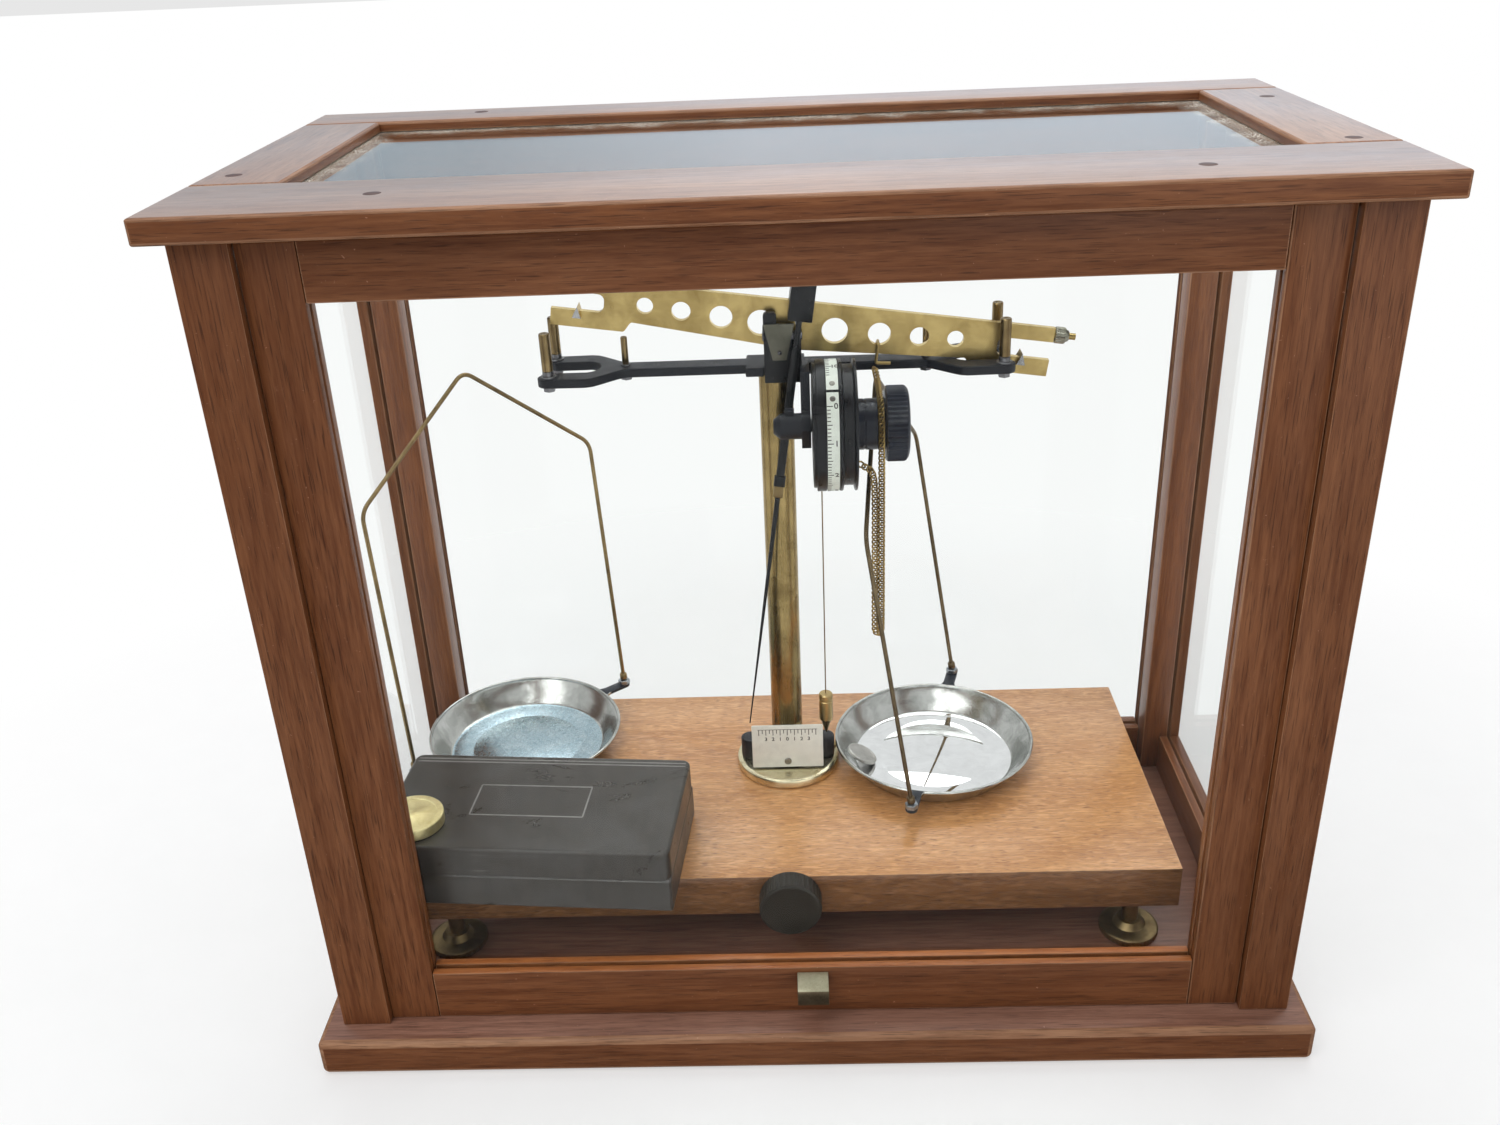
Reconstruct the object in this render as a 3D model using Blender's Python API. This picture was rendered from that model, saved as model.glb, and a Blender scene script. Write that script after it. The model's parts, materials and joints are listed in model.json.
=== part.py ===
"""Equal-arm balance with a chain and drum, standing in a glazed wooden case with a flap sash.

Metres, +Z up, front towards -Y. The origin is the centre of the plinth's underside.
"""
import math

import bmesh
import bpy
from mathutils import Matrix, Vector

# Clearances
SEAM = 0.0003            # gap between pieces that touch
RUNNING = 0.0003         # all round a shaft, pin or screw in its hole
SWING = 0.0005           # all round the sash
PAST = 0.0100            # how far a cutter runs out of the piece it cuts

# Case
BODY_WIDTH = 0.4500      # across the corner posts
BODY_DEPTH = 0.2214
POST_SIDE = 0.0226
POST_LENGTH = 0.3785
PLINTH_HEIGHT = 0.0197
PLINTH_LEDGE_X = 0.0103
PLINTH_LEDGE_Y = 0.0126
TOP_THICKNESS = 0.0102
TOP_LEDGE = 0.0090
TOP_FRONT_WIDTH = 0.0581
TOP_SIDE_WIDTH = 0.0374
TOP_BACK_WIDTH = 0.0331
RAIL_THICKNESS = 0.0132
RAIL_HEIGHT = 0.0220
GLASS = 0.0025
GLASS_INSET = 0.0070     # middle of a wall pane behind the outer face
TOP_GLASS_DROP = 0.0050  # top pane below the lid's upper face
GROOVE_DEPTH = 0.0060
ARRIS = 0.0008           # small round on every wooden edge
PLINTH_ROUND = 0.0030

# Sash, a flap hung from two pins near its top front edge
SASH_RECESS = 0.0040
SASH_THICKNESS = 0.0110
STILE_WIDTH = 0.0225
SASH_BOTTOM_HEIGHT = 0.0270
SASH_TOP_HEIGHT = 0.0254
PIVOT_INSET = 0.0030
PIVOT_RADIUS = 0.0012
PIVOT_ENGAGEMENT = 0.0060
PULL_X = 0.0018
PULL_WIDTH = 0.0146
PULL_REACH = 0.0130
PULL_HEIGHT = 0.0085
PULL_RISE = 0.0245       # top of the pull above the sash's bottom edge
PULL_WALL = 0.0022
PULL_ROOF = 0.0027
PULL_NOSE = 0.0035       # round of its front top edge

# Base board and its levelling feet
BOARD_GAP_LEFT = 0.00345   # from the inner faces of the posts
BOARD_GAP_RIGHT = 0.02085
BOARD_GAP_FRONT = 0.0176
BOARD_GAP_BACK = 0.0016  # from the inner faces of the back rails
BOARD_THICKNESS = 0.0225
BOARD_RISE = 0.0298      # underside above the case floor
FOOT_RADIUS = 0.0147
FOOT_STEM_RADIUS = 0.0040
FOOT_THICKNESS = 0.0040
FOOT_CHAMFER = 0.0010
FOOT_SHOULDER_RADIUS = 0.0080
FOOT_SHOULDER_RISE = 0.0048
FOOT_COLLAR_RADIUS = 0.0060
FOOT_COLLAR_RISE = 0.0080
FOOT_ENTRY = 0.0120      # length of stem inside the board
FOOT_INSET_X = 0.0182
FOOT_INSET_Y = 0.0177

# Column, its flange and the lifting rod inside it
COLUMN_X = -0.0080
COLUMN_Y = 0.0290
COLUMN_RADIUS = 0.0082
COLUMN_LENGTH = 0.2187
FLANGE_RADIUS = 0.0278
FLANGE_THICKNESS = 0.0050
FLANGE_CHAMFER = 0.0010
ROD_RADIUS = 0.0032
ROD_TIP_RADIUS = 0.0005

# Arrest: knob, shaft and snail cam
ARREST_KNOB_RADIUS = 0.0152
ARREST_KNOB_THICKNESS = 0.0115
ARREST_KNOB_RIDGES = 28
ARREST_KNOB_RIDGE = 0.0004
ARREST_SHAFT_RADIUS = 0.0030
CAM_LOW_RADIUS = 0.0050
CAM_WIDTH = 0.0060
CAM_POCKET_GAP = 0.0008
CAM_FALL = 40            # degrees from the cam's highest point to its low round
CAM_JOIN = 10            # degrees from its low round to the start of the rise
LIFT = 0.0040
LIFT_TURN = math.radians(90)

# Arrest arm
ARM_THICKNESS = 0.0044
ARM_WIDTH = 0.0110
ARM_HALF_LENGTH = 0.1150
FORK_SLOT_HALF = 0.0090
FORK_PRONG = 0.0110
FORK_START = 0.0700      # where the bar starts to widen
FORK_SLOT_START = 0.0845
FORK_SHOULDER = 0.0060   # past the start of the slot, where the fork is widest
BLOCK_LEFT = 0.0140      # centre block, from the column's axis
BLOCK_RIGHT = 0.0140
BLOCK_HALF_DEPTH = 0.0105
DRUM_LUG_WIDTH = 0.0084
FORK_PIN_X = 0.1094
FORK_PIN_Y = 0.0156
FORK_PIN_RADIUS = 0.0028
FORK_PIN_RISE = 0.0212
MID_PIN_X = 0.0717
MID_PIN_Y = 0.0010
MID_PIN_RADIUS = 0.0016
MID_PIN_RISE = 0.0140
PIN_NUT_HEIGHT = 0.0028
PIN_WASHER_HEIGHT = 0.00168
PIN_COLLAR = 1.45        # washer and nut, in radii of the pin

# Yoke and its bearing plates
YOKE_LEFT = 0.0050       # from the column's axis
YOKE_RIGHT = 0.0125
CHEEK_THICKNESS = 0.0048
CHEEK_GAP = 0.0054       # slot between the cheeks
CHEEK_RISE = 0.0135      # cheek top above the arm
YOKE_SKIRT = 0.0074      # front cheek hanging below the arm's top
YOKE_SKIRT_THICKNESS = 0.0024
YOKE_FLOOR = 0.0031
PLATE_HEIGHT = 0.0032
PLATE_DEPTH = 0.0043
PLATE_SINK = 0.0002      # into the cheek under it
PLATE_OVERHANG = 0.0006
PLATE_SET_BACK = 0.0002  # from the slot between the cheeks
SHIELD_TOP_WIDTH = 0.0145
SHIELD_FOOT_WIDTH = 0.0063
SHIELD_HEIGHT = 0.0175
SHIELD_PROUD = 0.0008
SHIELD_SINK = 0.0004     # into the front cheek
SHIELD_RISE = 0.0046     # above the bearing plates

# Beam, in its own axes: X along it, Z up from the middle knife edge
BEAM_TILT = math.radians(8.2)
BEAM_SHIFT = 0.0110      # middle knife edge to the right of the column's axis
BEAM_SET_FORWARD = 0.0035   # of the column's axis
BEAM_THICKNESS = 0.0032
BEAM_HALF_LENGTH = 0.1168
BEAM_TOP = 0.0130
BEAM_LOW_MIDDLE = -0.0104
BEAM_LOW_STEP = -0.0056
BEAM_LOW_END = -0.0105
STEP_START = 0.0775
STEP_END = 0.0815
END_SLOT_START = 0.0910
END_SLOT_LOW = -0.0025
END_SLOT_HIGH = 0.0062
END_SLOT_ROUND = 0.0030
LOWER_BAR_END = 0.1156
END_KNIFE_X = 0.1032
KNIFE_HEIGHT = 0.0055
KNIFE_WIDTH = 0.0042
MID_KNIFE_LENGTH = 0.0134
END_KNIFE_LENGTH = 0.0090
BEAM_HOLES = ((0.0175, 0.0008, 0.0062), (0.0362, 0.0015, 0.0054),
              (0.0550, 0.0023, 0.0045), (0.0720, 0.0030, 0.0039))
STUD_RADIUS = 0.0016
STUD_LENGTH = 0.0100
STUD_ROOT = 0.0020       # inside the beam
BEAM_NUT_RADIUS = 0.0036
BEAM_NUT_LENGTH = 0.0065

# Pointer, hung from a block that straddles the beam
POINTER_LENGTH = 0.2150
POINTER_THICKNESS = 0.0020
POINTER_WIDTH = 0.0040
POINTER_NECK_WIDTH = 0.0026
POINTER_TIP_WIDTH = 0.0006
POINTER_ROOT = 0.0020    # inside the block
POINTER_NECK_END = 0.0040   # below the knife edges
POINTER_WIDE_FROM = 0.0140
POINTER_BLOCK_LEFT = 0.0055
POINTER_BLOCK_RIGHT = 0.0060
POINTER_BLOCK_LOW = 0.0058
POINTER_BLOCK_HIGH = 0.0250
POINTER_FRONT = 0.0107   # front of the pointer before the beam's middle plane
POINTER_BLOCK_BACK = 0.0075
COLLAR_TOP = 0.0720
COLLAR_LENGTH = 0.0130
COLLAR_WIDTH = 0.0056
COLLAR_SLOPE = 0.0008

# Hook and chain
HOOK_X = 0.0366
HOOK_WIRE = 0.0008
HOOK_DROP = 0.0120
HOOK_FRONT = 0.0034      # hanging end before the beam's middle plane
HOOK_TAIL = 0.0040       # short end behind the beam
HOOK_TOE = 0.0070        # turned-out foot that holds the chain
HOOK_TOE_RISE = 0.0006
HOOK_BEND = 0.0010
CHAIN_RADIUS = 0.0014
CHAIN_LOOP_DROP = 0.1030  # lowest point below the drum's axis
CHAIN_HUB_GAP = 0.0008   # right strand from the hub's right end
CHAIN_HEAD_LEFT = 0.0006    # first link, from the right strand
CHAIN_HEAD_FRONT = 0.0064   # from the beam's middle plane
CHAIN_HEAD_DROP = 0.0026    # below the hook's foot
CHAIN_LEAD_BACK = 0.0140    # where it comes down on the hub, behind the axis
CHAIN_LEAD_RISE = 0.0012
CHAIN_HANG_FROM = 0.0300    # straight part of the right strand, below the axis
CHAIN_HANG_TO = 0.0650
CHAIN_TURN_RISE = 0.0060    # end of the loop's round, above its lowest point
CHAIN_TURN_EASE = 0.0003
CHAIN_RISE_TO = 0.0320      # straight part of the left strand, below the axis
CHAIN_FEED = (0.0012, 0.0002, 0.0190)   # bend to the drum: left, front and below
CHAIN_END = (0.0004, 0.0145)            # at the drum's side: front and below

# Drum and its bracket
DRUM_Y = -0.0060
DRUM_Z = 0.2807
DRUM_LEFT = 0.0086
DRUM_RADIUS = 0.0303
DRUM_LENGTH = 0.0200
DRUM_STEP = 0.0016       # rebate round the left rim
TAPE_START = 0.0058      # from the drum's left face
TAPE_WIDTH = 0.0060
TAPE_SEAT = 0.0008
TAPE_THICKNESS = 0.0005
TAPE_SEAM_ANGLE = math.radians(35)   # above the front of the drum
TAPE_SEAM_GAP = 0.0014
GROOVE_START = 0.0134
GROOVE_END = 0.0187
DRUM_GROOVE = 0.0025
HUB_LENGTH = 0.0129
HUB_RADIUS = 0.0118
KNOB_RADIUS = 0.0175
KNOB_LENGTH = 0.0108
KNOB_RIDGES = 32
KNOB_RIDGE = 0.0006
KNOB_RIDGE_START = 0.0008
KNOB_RIDGE_STOP = 0.0009
KNOB_CHAMFER = 0.0015
KNOB_DOME = 0.0004
KNOB_DOME_SHARE = 0.6    # of the radius, where the dome is full
SPINDLE_RADIUS = 0.0030
SPINDLE_SHORT = 0.0030   # end inside the boss, from the boss's left end
SPINDLE_BORE_SHORT = 0.0022
BRACKET_THICKNESS = 0.0043
BRACKET_GAP = 0.0007     # to the drum's left face
BRACKET_BEND = 0.0060
BRACKET_SHELF = 0.0100   # flat top behind the round
BRACKET_NECK = 0.0030
BRACKET_FRONT = -0.0130
BRACKET_BACK = 0.0138
BRACKET_LOW = 0.0107     # below the drum's axis
BOSS_RADIUS = 0.0060
BOSS_LENGTH = 0.0110
BOSS_CAP = 0.0059
BOSS_NOSE_RADIUS = 0.0033
BOSS_NOSE = 0.0004
GRUB_LEFT = 0.0008       # square lug on the boss, from the boss's left end
GRUB_RIGHT = 0.0034
GRUB_SIDE = 0.0040
GRUB_SINK = 0.0010
GRUB_RISE = 0.0022
BRACKET_FOOT = 0.0021

# Pointer scale, on a casting that stands on the flange
LOBE_HALF_SPAN = 0.0253
LOBE_RADIUS = 0.0050
CASTING_HEIGHT = 0.0120
CASTING_Y = 0.0265
PAD_WIDTH = 0.0160
CASTING_LIP = 0.0012     # flat beside the column's notch
SCALE_WIDTH = 0.0379
SCALE_HEIGHT = 0.0263
SCALE_THICKNESS = 0.0010
SCALE_Y = 0.0128         # front face
SCALE_RISE = 0.0010      # above the flange

# Plumb bob
PLUMB_X = 0.0131
PLUMB_Y = 0.0270
PLUMB_LINE_RADIUS = 0.00035
PLUMB_RADIUS = 0.0037
PLUMB_TIP_RISE = 0.0186  # tip above the board
PLUMB_CONE = 0.0094
PLUMB_BODY = 0.0156
PLUMB_CHAMFER = 0.0006
PLUMB_EASE = 0.0010      # foot of the shoulder's round
PLUMB_EASE_RADIUS = 0.00296

# Pans and stirrups
LEFT_PAN_GAP = 0.00755   # rim to the side pane
LEFT_PAN_Y = 0.0476
LEFT_PAN_TURN = math.radians(40)
RIGHT_PAN = (0.0713, 0.0290, math.radians(75))
PAN_RIM_RADIUS = 0.0535
PAN_FLOOR_RADIUS = 0.0440
PAN_HEIGHT = 0.0138
PAN_WALL = 0.0009
PAN_RIM_ROLL = 0.0009
PAN_CORNER = 0.0030      # round between floor and wall
PAN_CORNER_RISE = 0.00105
PAN_SLOPE = 0.6          # share of the wall's thickness on its inner side
LUG_RADIUS = 0.0674
LUG_WIDTH = 0.0062
LUG_THICKNESS = 0.0016
LUG_NUT_HEIGHT = 0.0026
LUG_NUT_RADIUS = 0.0034
LUG_NUT_SINK = 0.0004    # below the lug
STIRRUP_WIRE = 0.0011
STIRRUP_LEG = 0.1465
STIRRUP_HEIGHT = 0.2025
STIRRUP_SHOULDER = 0.0669
STIRRUP_BEND = 0.0060
LEFT_LEAN = math.radians(4.7)
RIGHT_LEAN = math.radians(9.1)

# Box of weights with a hinged lid, and the loose weights
BOX_PAST_LEFT = 0.00505  # over the board's left end
BOX_PAST_FRONT = 0.0190  # over its front edge
BOX_TURN = math.radians(-4.4)
BOX_WIDTH = 0.1440
BOX_DEPTH = 0.0770
BOX_BODY_HEIGHT = 0.0182
BOX_LID_HEIGHT = 0.0152
BOX_WALL = 0.0030
BOX_ARRIS = 0.0010
DISC_X = -0.0550         # on the lid, from the box's middle
DISC_Y = -0.0205
DISC_RADIUS = 0.0150
DISC_HEIGHT = 0.0060
DISC_EDGE = 0.0006
TARE_RADIUS = 0.0085
TARE_THICKNESS = 0.0020
TARE_PLACE = 0.0394      # from the right pan's middle
TARE_BEARING = math.radians(188)
TARE_TILT = math.radians(27)

# Levels and faces that follow from the sizes
FLOOR_Z = PLINTH_HEIGHT
POST_LOW = FLOOR_Z + SEAM
POST_HIGH = POST_LOW + POST_LENGTH
TOP_LOW = POST_HIGH + SEAM
TOP_HIGH = TOP_LOW + TOP_THICKNESS
HALF_WIDTH = BODY_WIDTH / 2
HALF_DEPTH = BODY_DEPTH / 2
BOARD_LOW = FLOOR_Z + BOARD_RISE
BOARD_TOP = BOARD_LOW + BOARD_THICKNESS
BOARD_LEFT = POST_SIDE + BOARD_GAP_LEFT - HALF_WIDTH
BOARD_RIGHT = HALF_WIDTH - POST_SIDE - BOARD_GAP_RIGHT
BOARD_FRONT = POST_SIDE + BOARD_GAP_FRONT - HALF_DEPTH
BOARD_BACK = HALF_DEPTH - RAIL_THICKNESS - BOARD_GAP_BACK
FLANGE_TOP = BOARD_TOP + SEAM + FLANGE_THICKNESS
COLUMN_LOW = FLANGE_TOP + SEAM
ARM_LOW = COLUMN_LOW + COLUMN_LENGTH + SEAM
ARM_TOP = ARM_LOW + ARM_THICKNESS
ARREST_Z = BOARD_LOW + BOARD_THICKNESS / 2
SASH_FRONT = -HALF_DEPTH + SASH_RECESS
SASH_BACK = SASH_FRONT + SASH_THICKNESS
SASH_HALF_WIDTH = HALF_WIDTH - POST_SIDE - SWING
SASH_LOW = FLOOR_Z + SWING
SASH_HIGH = TOP_LOW - SWING
PIVOT_Y = SASH_FRONT + PIVOT_INSET
PIVOT_Z = SASH_HIGH - PIVOT_INSET
YOKE_FLOOR_LOW = ARM_TOP + SEAM
CHEEK_TOP = ARM_TOP + CHEEK_RISE
BEARING_TOP = CHEEK_TOP + PLATE_HEIGHT
KNIFE_X = COLUMN_X + BEAM_SHIFT
BEAM_Y = COLUMN_Y - BEAM_SET_FORWARD
KNIFE_Z = BEARING_TOP + SEAM
DRUM_RIGHT = DRUM_LEFT + DRUM_LENGTH
LEFT_PAN_X = GLASS_INSET + GLASS / 2 + LEFT_PAN_GAP + PAN_RIM_RADIUS - HALF_WIDTH
LEFT_PAN = (LEFT_PAN_X, LEFT_PAN_Y, LEFT_PAN_TURN)
BOX_X = BOARD_LEFT - BOX_PAST_LEFT + BOX_WIDTH / 2
BOX_Y = BOARD_FRONT - BOX_PAST_FRONT + BOX_DEPTH / 2
TAU = 2 * math.pi


def clear_scene():
    for old in list(bpy.data.objects):
        bpy.data.objects.remove(old, do_unlink=True)


def finish(name, colour, roughness, metallic, alpha=1.0):
    """One Principled material, named after the piece that wears it."""
    material = bpy.data.materials.new(name)
    material.use_nodes = True
    shader = material.node_tree.nodes["Principled BSDF"]
    shader.inputs["Base Color"].default_value = (*colour, 1.0)
    shader.inputs["Roughness"].default_value = roughness
    shader.inputs["Metallic"].default_value = metallic
    shader.inputs["Alpha"].default_value = alpha
    return material


FINISHES = {
    "wood": ((0.19, 0.07, 0.035), 0.45, 0.0),
    "board": ((0.45, 0.19, 0.07), 0.4, 0.0),
    "glass": ((0.9, 0.95, 0.95), 0.03, 0.0, 0.2),
    "brass": ((0.52, 0.36, 0.12), 0.35, 1.0),
    "old_brass": ((0.30, 0.22, 0.10), 0.4, 1.0),
    "black": ((0.02, 0.022, 0.03), 0.4, 0.3),
    "nickel": ((0.75, 0.75, 0.73), 0.12, 1.0),
    "steel": ((0.42, 0.42, 0.42), 0.3, 1.0),
    "ivory": ((0.8, 0.78, 0.7), 0.5, 0.0),
    "case_black": ((0.03, 0.03, 0.035), 0.5, 0.0),
}


def empty(name, place, turn=(0, 0, 0), parent=None):
    """An axis or a carrier that moving pieces are parented to."""
    holder = bpy.data.objects.new(name, None)
    bpy.context.collection.objects.link(holder)
    holder.empty_display_size = 0.01
    holder.parent = parent
    holder.location = place
    holder.rotation_euler = turn
    bpy.context.view_layer.update()
    return holder


def world_matrix(holder):
    """Place of an empty through its parents, also before the scene is evaluated."""
    matrix = Matrix.LocRotScale(holder.location, holder.rotation_euler, None)
    if holder.parent:
        matrix = world_matrix(holder.parent) @ matrix
    return matrix


def piece(name, bm, look, holder=None, local=False):
    """Make the named object. World-built meshes are moved into their holder's axes."""
    mesh = bpy.data.meshes.new(name)
    bm.to_mesh(mesh)
    bm.free()
    obj = bpy.data.objects.new(name, mesh)
    bpy.context.collection.objects.link(obj)
    obj.data.materials.append(finish(name, *FINISHES[look]))
    if holder:
        if not local:
            mesh.transform(world_matrix(holder).inverted())
        obj.parent = holder
    return obj


def cutter(name, bm, holder=None, local=False):
    """A hidden shape that Booleans read."""
    mesh = bpy.data.meshes.new(name)
    bm.to_mesh(mesh)
    bm.free()
    obj = bpy.data.objects.new(name, mesh)
    bpy.context.collection.objects.link(obj)
    obj.hide_render = True
    obj.display_type = 'WIRE'
    if holder:
        if not local:
            mesh.transform(world_matrix(holder).inverted())
        obj.parent = holder
    return obj


def boolean(obj, other, operation='DIFFERENCE'):
    modifier = obj.modifiers.new(other.name, 'BOOLEAN')
    modifier.operation = operation
    modifier.solver = 'EXACT'
    modifier.object = other


def bevel(obj, width, segments=1, angle=40):
    modifier = obj.modifiers.new("Edges", 'BEVEL')
    modifier.width = width
    modifier.segments = segments
    modifier.limit_method = 'ANGLE'
    modifier.angle_limit = math.radians(angle)
    modifier.use_clamp_overlap = True


def smooth(obj, angle=35):
    obj.data.shade_smooth()
    obj.data.set_sharp_from_angle(angle=math.radians(angle))


def block(x, y, z):
    """A box between low and high values on each axis."""
    bm = bmesh.new()
    add_block(bm, x, y, z)
    return bm


def add_block(bm, x, y, z):
    centre = [(low + high) / 2 for low, high in (x, y, z)]
    size = [high - low for low, high in (x, y, z)]
    bmesh.ops.create_cube(bm, size=1.0, matrix=Matrix.LocRotScale(centre, None, size))


AXES = {
    "X": Matrix(((0, 0, 1, 0), (1, 0, 0, 0), (0, 1, 0, 0), (0, 0, 0, 1))),
    "Y": Matrix(((0, 1, 0, 0), (0, 0, 1, 0), (1, 0, 0, 0), (0, 0, 0, 1))),
    "Z": Matrix.Identity(4),
}


def along(axis, place):
    """Matrix that lays a shape made along Z onto another axis, at a place."""
    return Matrix.Translation(place) @ AXES[axis]


def add_rod(bm, place, axis, length, radius, sides=16, tip=None):
    """A cylinder from place along +axis, or a cone when tip is its end radius."""
    end = radius if tip is None else tip
    middle = along(axis, place) @ Matrix.Translation((0, 0, length / 2))
    bmesh.ops.create_cone(bm, cap_ends=True, segments=sides, radius1=radius, radius2=end,
                          depth=length, matrix=middle)


def rod(place, axis, length, radius, sides=16):
    bm = bmesh.new()
    add_rod(bm, place, axis, length, radius, sides)
    bmesh.ops.recalc_face_normals(bm, faces=bm.faces)
    return bm


def turned(profile, steps, axis="Z", place=(0, 0, 0), ring=False):
    """Spin (radius, height) points; they start and end on the axis, or close into a ring."""
    bm = bmesh.new()
    verts = [bm.verts.new((radius, 0, height)) for radius, height in profile]
    pairs = list(zip(verts, verts[1:]))
    if ring:
        pairs.append((verts[-1], verts[0]))
    edges = [bm.edges.new(pair) for pair in pairs]
    bmesh.ops.spin(bm, geom=verts + edges, cent=(0, 0, 0), axis=(0, 0, 1), angle=TAU, steps=steps)
    bmesh.ops.remove_doubles(bm, verts=bm.verts, dist=0.000001)
    bmesh.ops.transform(bm, matrix=along(axis, place), verts=bm.verts)
    bmesh.ops.recalc_face_normals(bm, faces=bm.faces)
    return bm


def extruded(outline, axis, start, length):
    """A flat outline pushed along an axis. X takes (y, z), Y takes (x, z), Z takes (x, y)."""
    bm = bmesh.new()
    add_extruded(bm, outline, axis, start, length)
    return bm


def add_extruded(bm, outline, axis, start, length):
    lift = {"X": lambda a, b: (start, a, b), "Y": lambda a, b: (a, start, b),
            "Z": lambda a, b: (a, b, start)}[axis]
    way = {"X": (length, 0, 0), "Y": (0, length, 0), "Z": (0, 0, length)}[axis]
    face = bm.faces.new([bm.verts.new(lift(a, b)) for a, b in outline])
    grown = bmesh.ops.extrude_face_region(bm, geom=[face])
    moved = [item for item in grown["geom"] if isinstance(item, bmesh.types.BMVert)]
    bmesh.ops.translate(bm, verts=moved, vec=way)
    bmesh.ops.recalc_face_normals(bm, faces=bm.faces)


def arc(centre, radius, start, end, steps):
    """Points on an arc, angles in degrees, anticlockwise when end is greater."""
    points = []
    for step in range(steps + 1):
        angle = math.radians(start + (end - start) * step / steps)
        points.append((centre[0] + radius * math.cos(angle), centre[1] + radius * math.sin(angle)))
    return points


def wire(name, points, radius, look, holder=None, resolution=2, local=True):
    """A round wire or cord as a bevelled polyline with filled ends."""
    curve = bpy.data.curves.new(name, 'CURVE')
    curve.dimensions = '3D'
    curve.bevel_depth = radius
    curve.bevel_resolution = resolution
    curve.use_fill_caps = True
    spline = curve.splines.new('POLY')
    spline.points.add(len(points) - 1)
    inverse = Matrix.Identity(4) if local or not holder else world_matrix(holder).inverted()
    for target, point in zip(spline.points, points):
        target.co = (*(inverse @ Vector(point)), 1.0)
    obj = bpy.data.objects.new(name, curve)
    bpy.context.collection.objects.link(obj)
    curve.materials.append(finish(name, *FINISHES[look]))
    obj.parent = holder
    return obj


def rounded_path(corners, radius, steps=4):
    """A polyline whose inner corners are rounded by arcs of quadratic curve."""
    corners = [Vector(corner) for corner in corners]
    points = [corners[0]]
    for before, corner, after in zip(corners, corners[1:], corners[2:]):
        start = corner + (before - corner).normalized() * radius
        end = corner + (after - corner).normalized() * radius
        for step in range(steps + 1):
            t = step / steps
            points.append(start * (1 - t) ** 2 + corner * 2 * t * (1 - t) + end * t ** 2)
    points.append(corners[-1])
    return points


def groove(obj, x, y, z):
    """Plough a rectangular groove through a wooden piece."""
    boolean(obj, cutter(obj.name + "_groove" + str(len(obj.modifiers)), block(x, y, z)))


def glass_slot(middle):
    half = GLASS / 2 + SEAM
    return (middle - half, middle + half)


# Case

def plinth():
    half_x = HALF_WIDTH + PLINTH_LEDGE_X
    half_y = HALF_DEPTH + PLINTH_LEDGE_Y
    obj = piece("plinth", block((-half_x, half_x), (-half_y, half_y), (0, PLINTH_HEIGHT)), "wood")
    bevel(obj, PLINTH_ROUND, 2)


def wall_glass_x():
    return HALF_WIDTH - GLASS_INSET


def wall_glass_y():
    return HALF_DEPTH - GLASS_INSET


def posts():
    """Four corner posts, grooved for the side panes and, at the back, for the rear pane."""
    past = (POST_LOW - PAST, POST_HIGH + PAST)
    inner_x = HALF_WIDTH - POST_SIDE
    inner_y = HALF_DEPTH - POST_SIDE
    for side, x_sign in (("left", -1), ("right", 1)):
        for end, y_sign in (("front", -1), ("rear", 1)):
            xs = sorted((x_sign * inner_x, x_sign * HALF_WIDTH))
            ys = sorted((y_sign * inner_y, y_sign * HALF_DEPTH))
            obj = piece(end + "_" + side + "_post", block(xs, ys, (POST_LOW, POST_HIGH)), "wood")
            deep = sorted((y_sign * (inner_y - PAST), y_sign * (inner_y + GROOVE_DEPTH)))
            groove(obj, glass_slot(x_sign * wall_glass_x()), deep, past)
            if end == "rear":
                deep = sorted((x_sign * (inner_x - PAST), x_sign * (inner_x + GROOVE_DEPTH)))
                groove(obj, deep, glass_slot(wall_glass_y()), past)
            else:
                start = x_sign * (inner_x + PIVOT_ENGAGEMENT + RUNNING)
                hole = rod((min(start, x_sign * (inner_x - PAST)), PIVOT_Y, PIVOT_Z), "X",
                           PIVOT_ENGAGEMENT + RUNNING + PAST, PIVOT_RADIUS + RUNNING, 12)
                boolean(obj, cutter(obj.name + "_pivot", hole))


def rails():
    """A bottom and a top rail in each side wall and at the back, grooved for the panes."""
    low = (POST_LOW, POST_LOW + RAIL_HEIGHT)
    high = (POST_HIGH - RAIL_HEIGHT, POST_HIGH)
    levels = (("bottom", low, (low[1] - GROOVE_DEPTH, low[1] + PAST)),
              ("top", high, (high[0] - PAST, high[0] + GROOVE_DEPTH)))
    inner_x = HALF_WIDTH - POST_SIDE - SEAM
    inner_y = HALF_DEPTH - POST_SIDE - SEAM
    past_x = (-inner_x - PAST, inner_x + PAST)
    past_y = (-inner_y - PAST, inner_y + PAST)
    for level, z, deep in levels:
        for side, sign in (("left", -1), ("right", 1)):
            x = sorted((sign * (HALF_WIDTH - RAIL_THICKNESS), sign * HALF_WIDTH))
            obj = piece(side + "_" + level + "_rail", block(x, (-inner_y, inner_y), z), "wood")
            groove(obj, glass_slot(sign * wall_glass_x()), past_y, deep)
        y = (HALF_DEPTH - RAIL_THICKNESS, HALF_DEPTH)
        obj = piece("rear_" + level + "_rail", block((-inner_x, inner_x), y, z), "wood")
        groove(obj, past_x, glass_slot(wall_glass_y()), deep)


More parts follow.
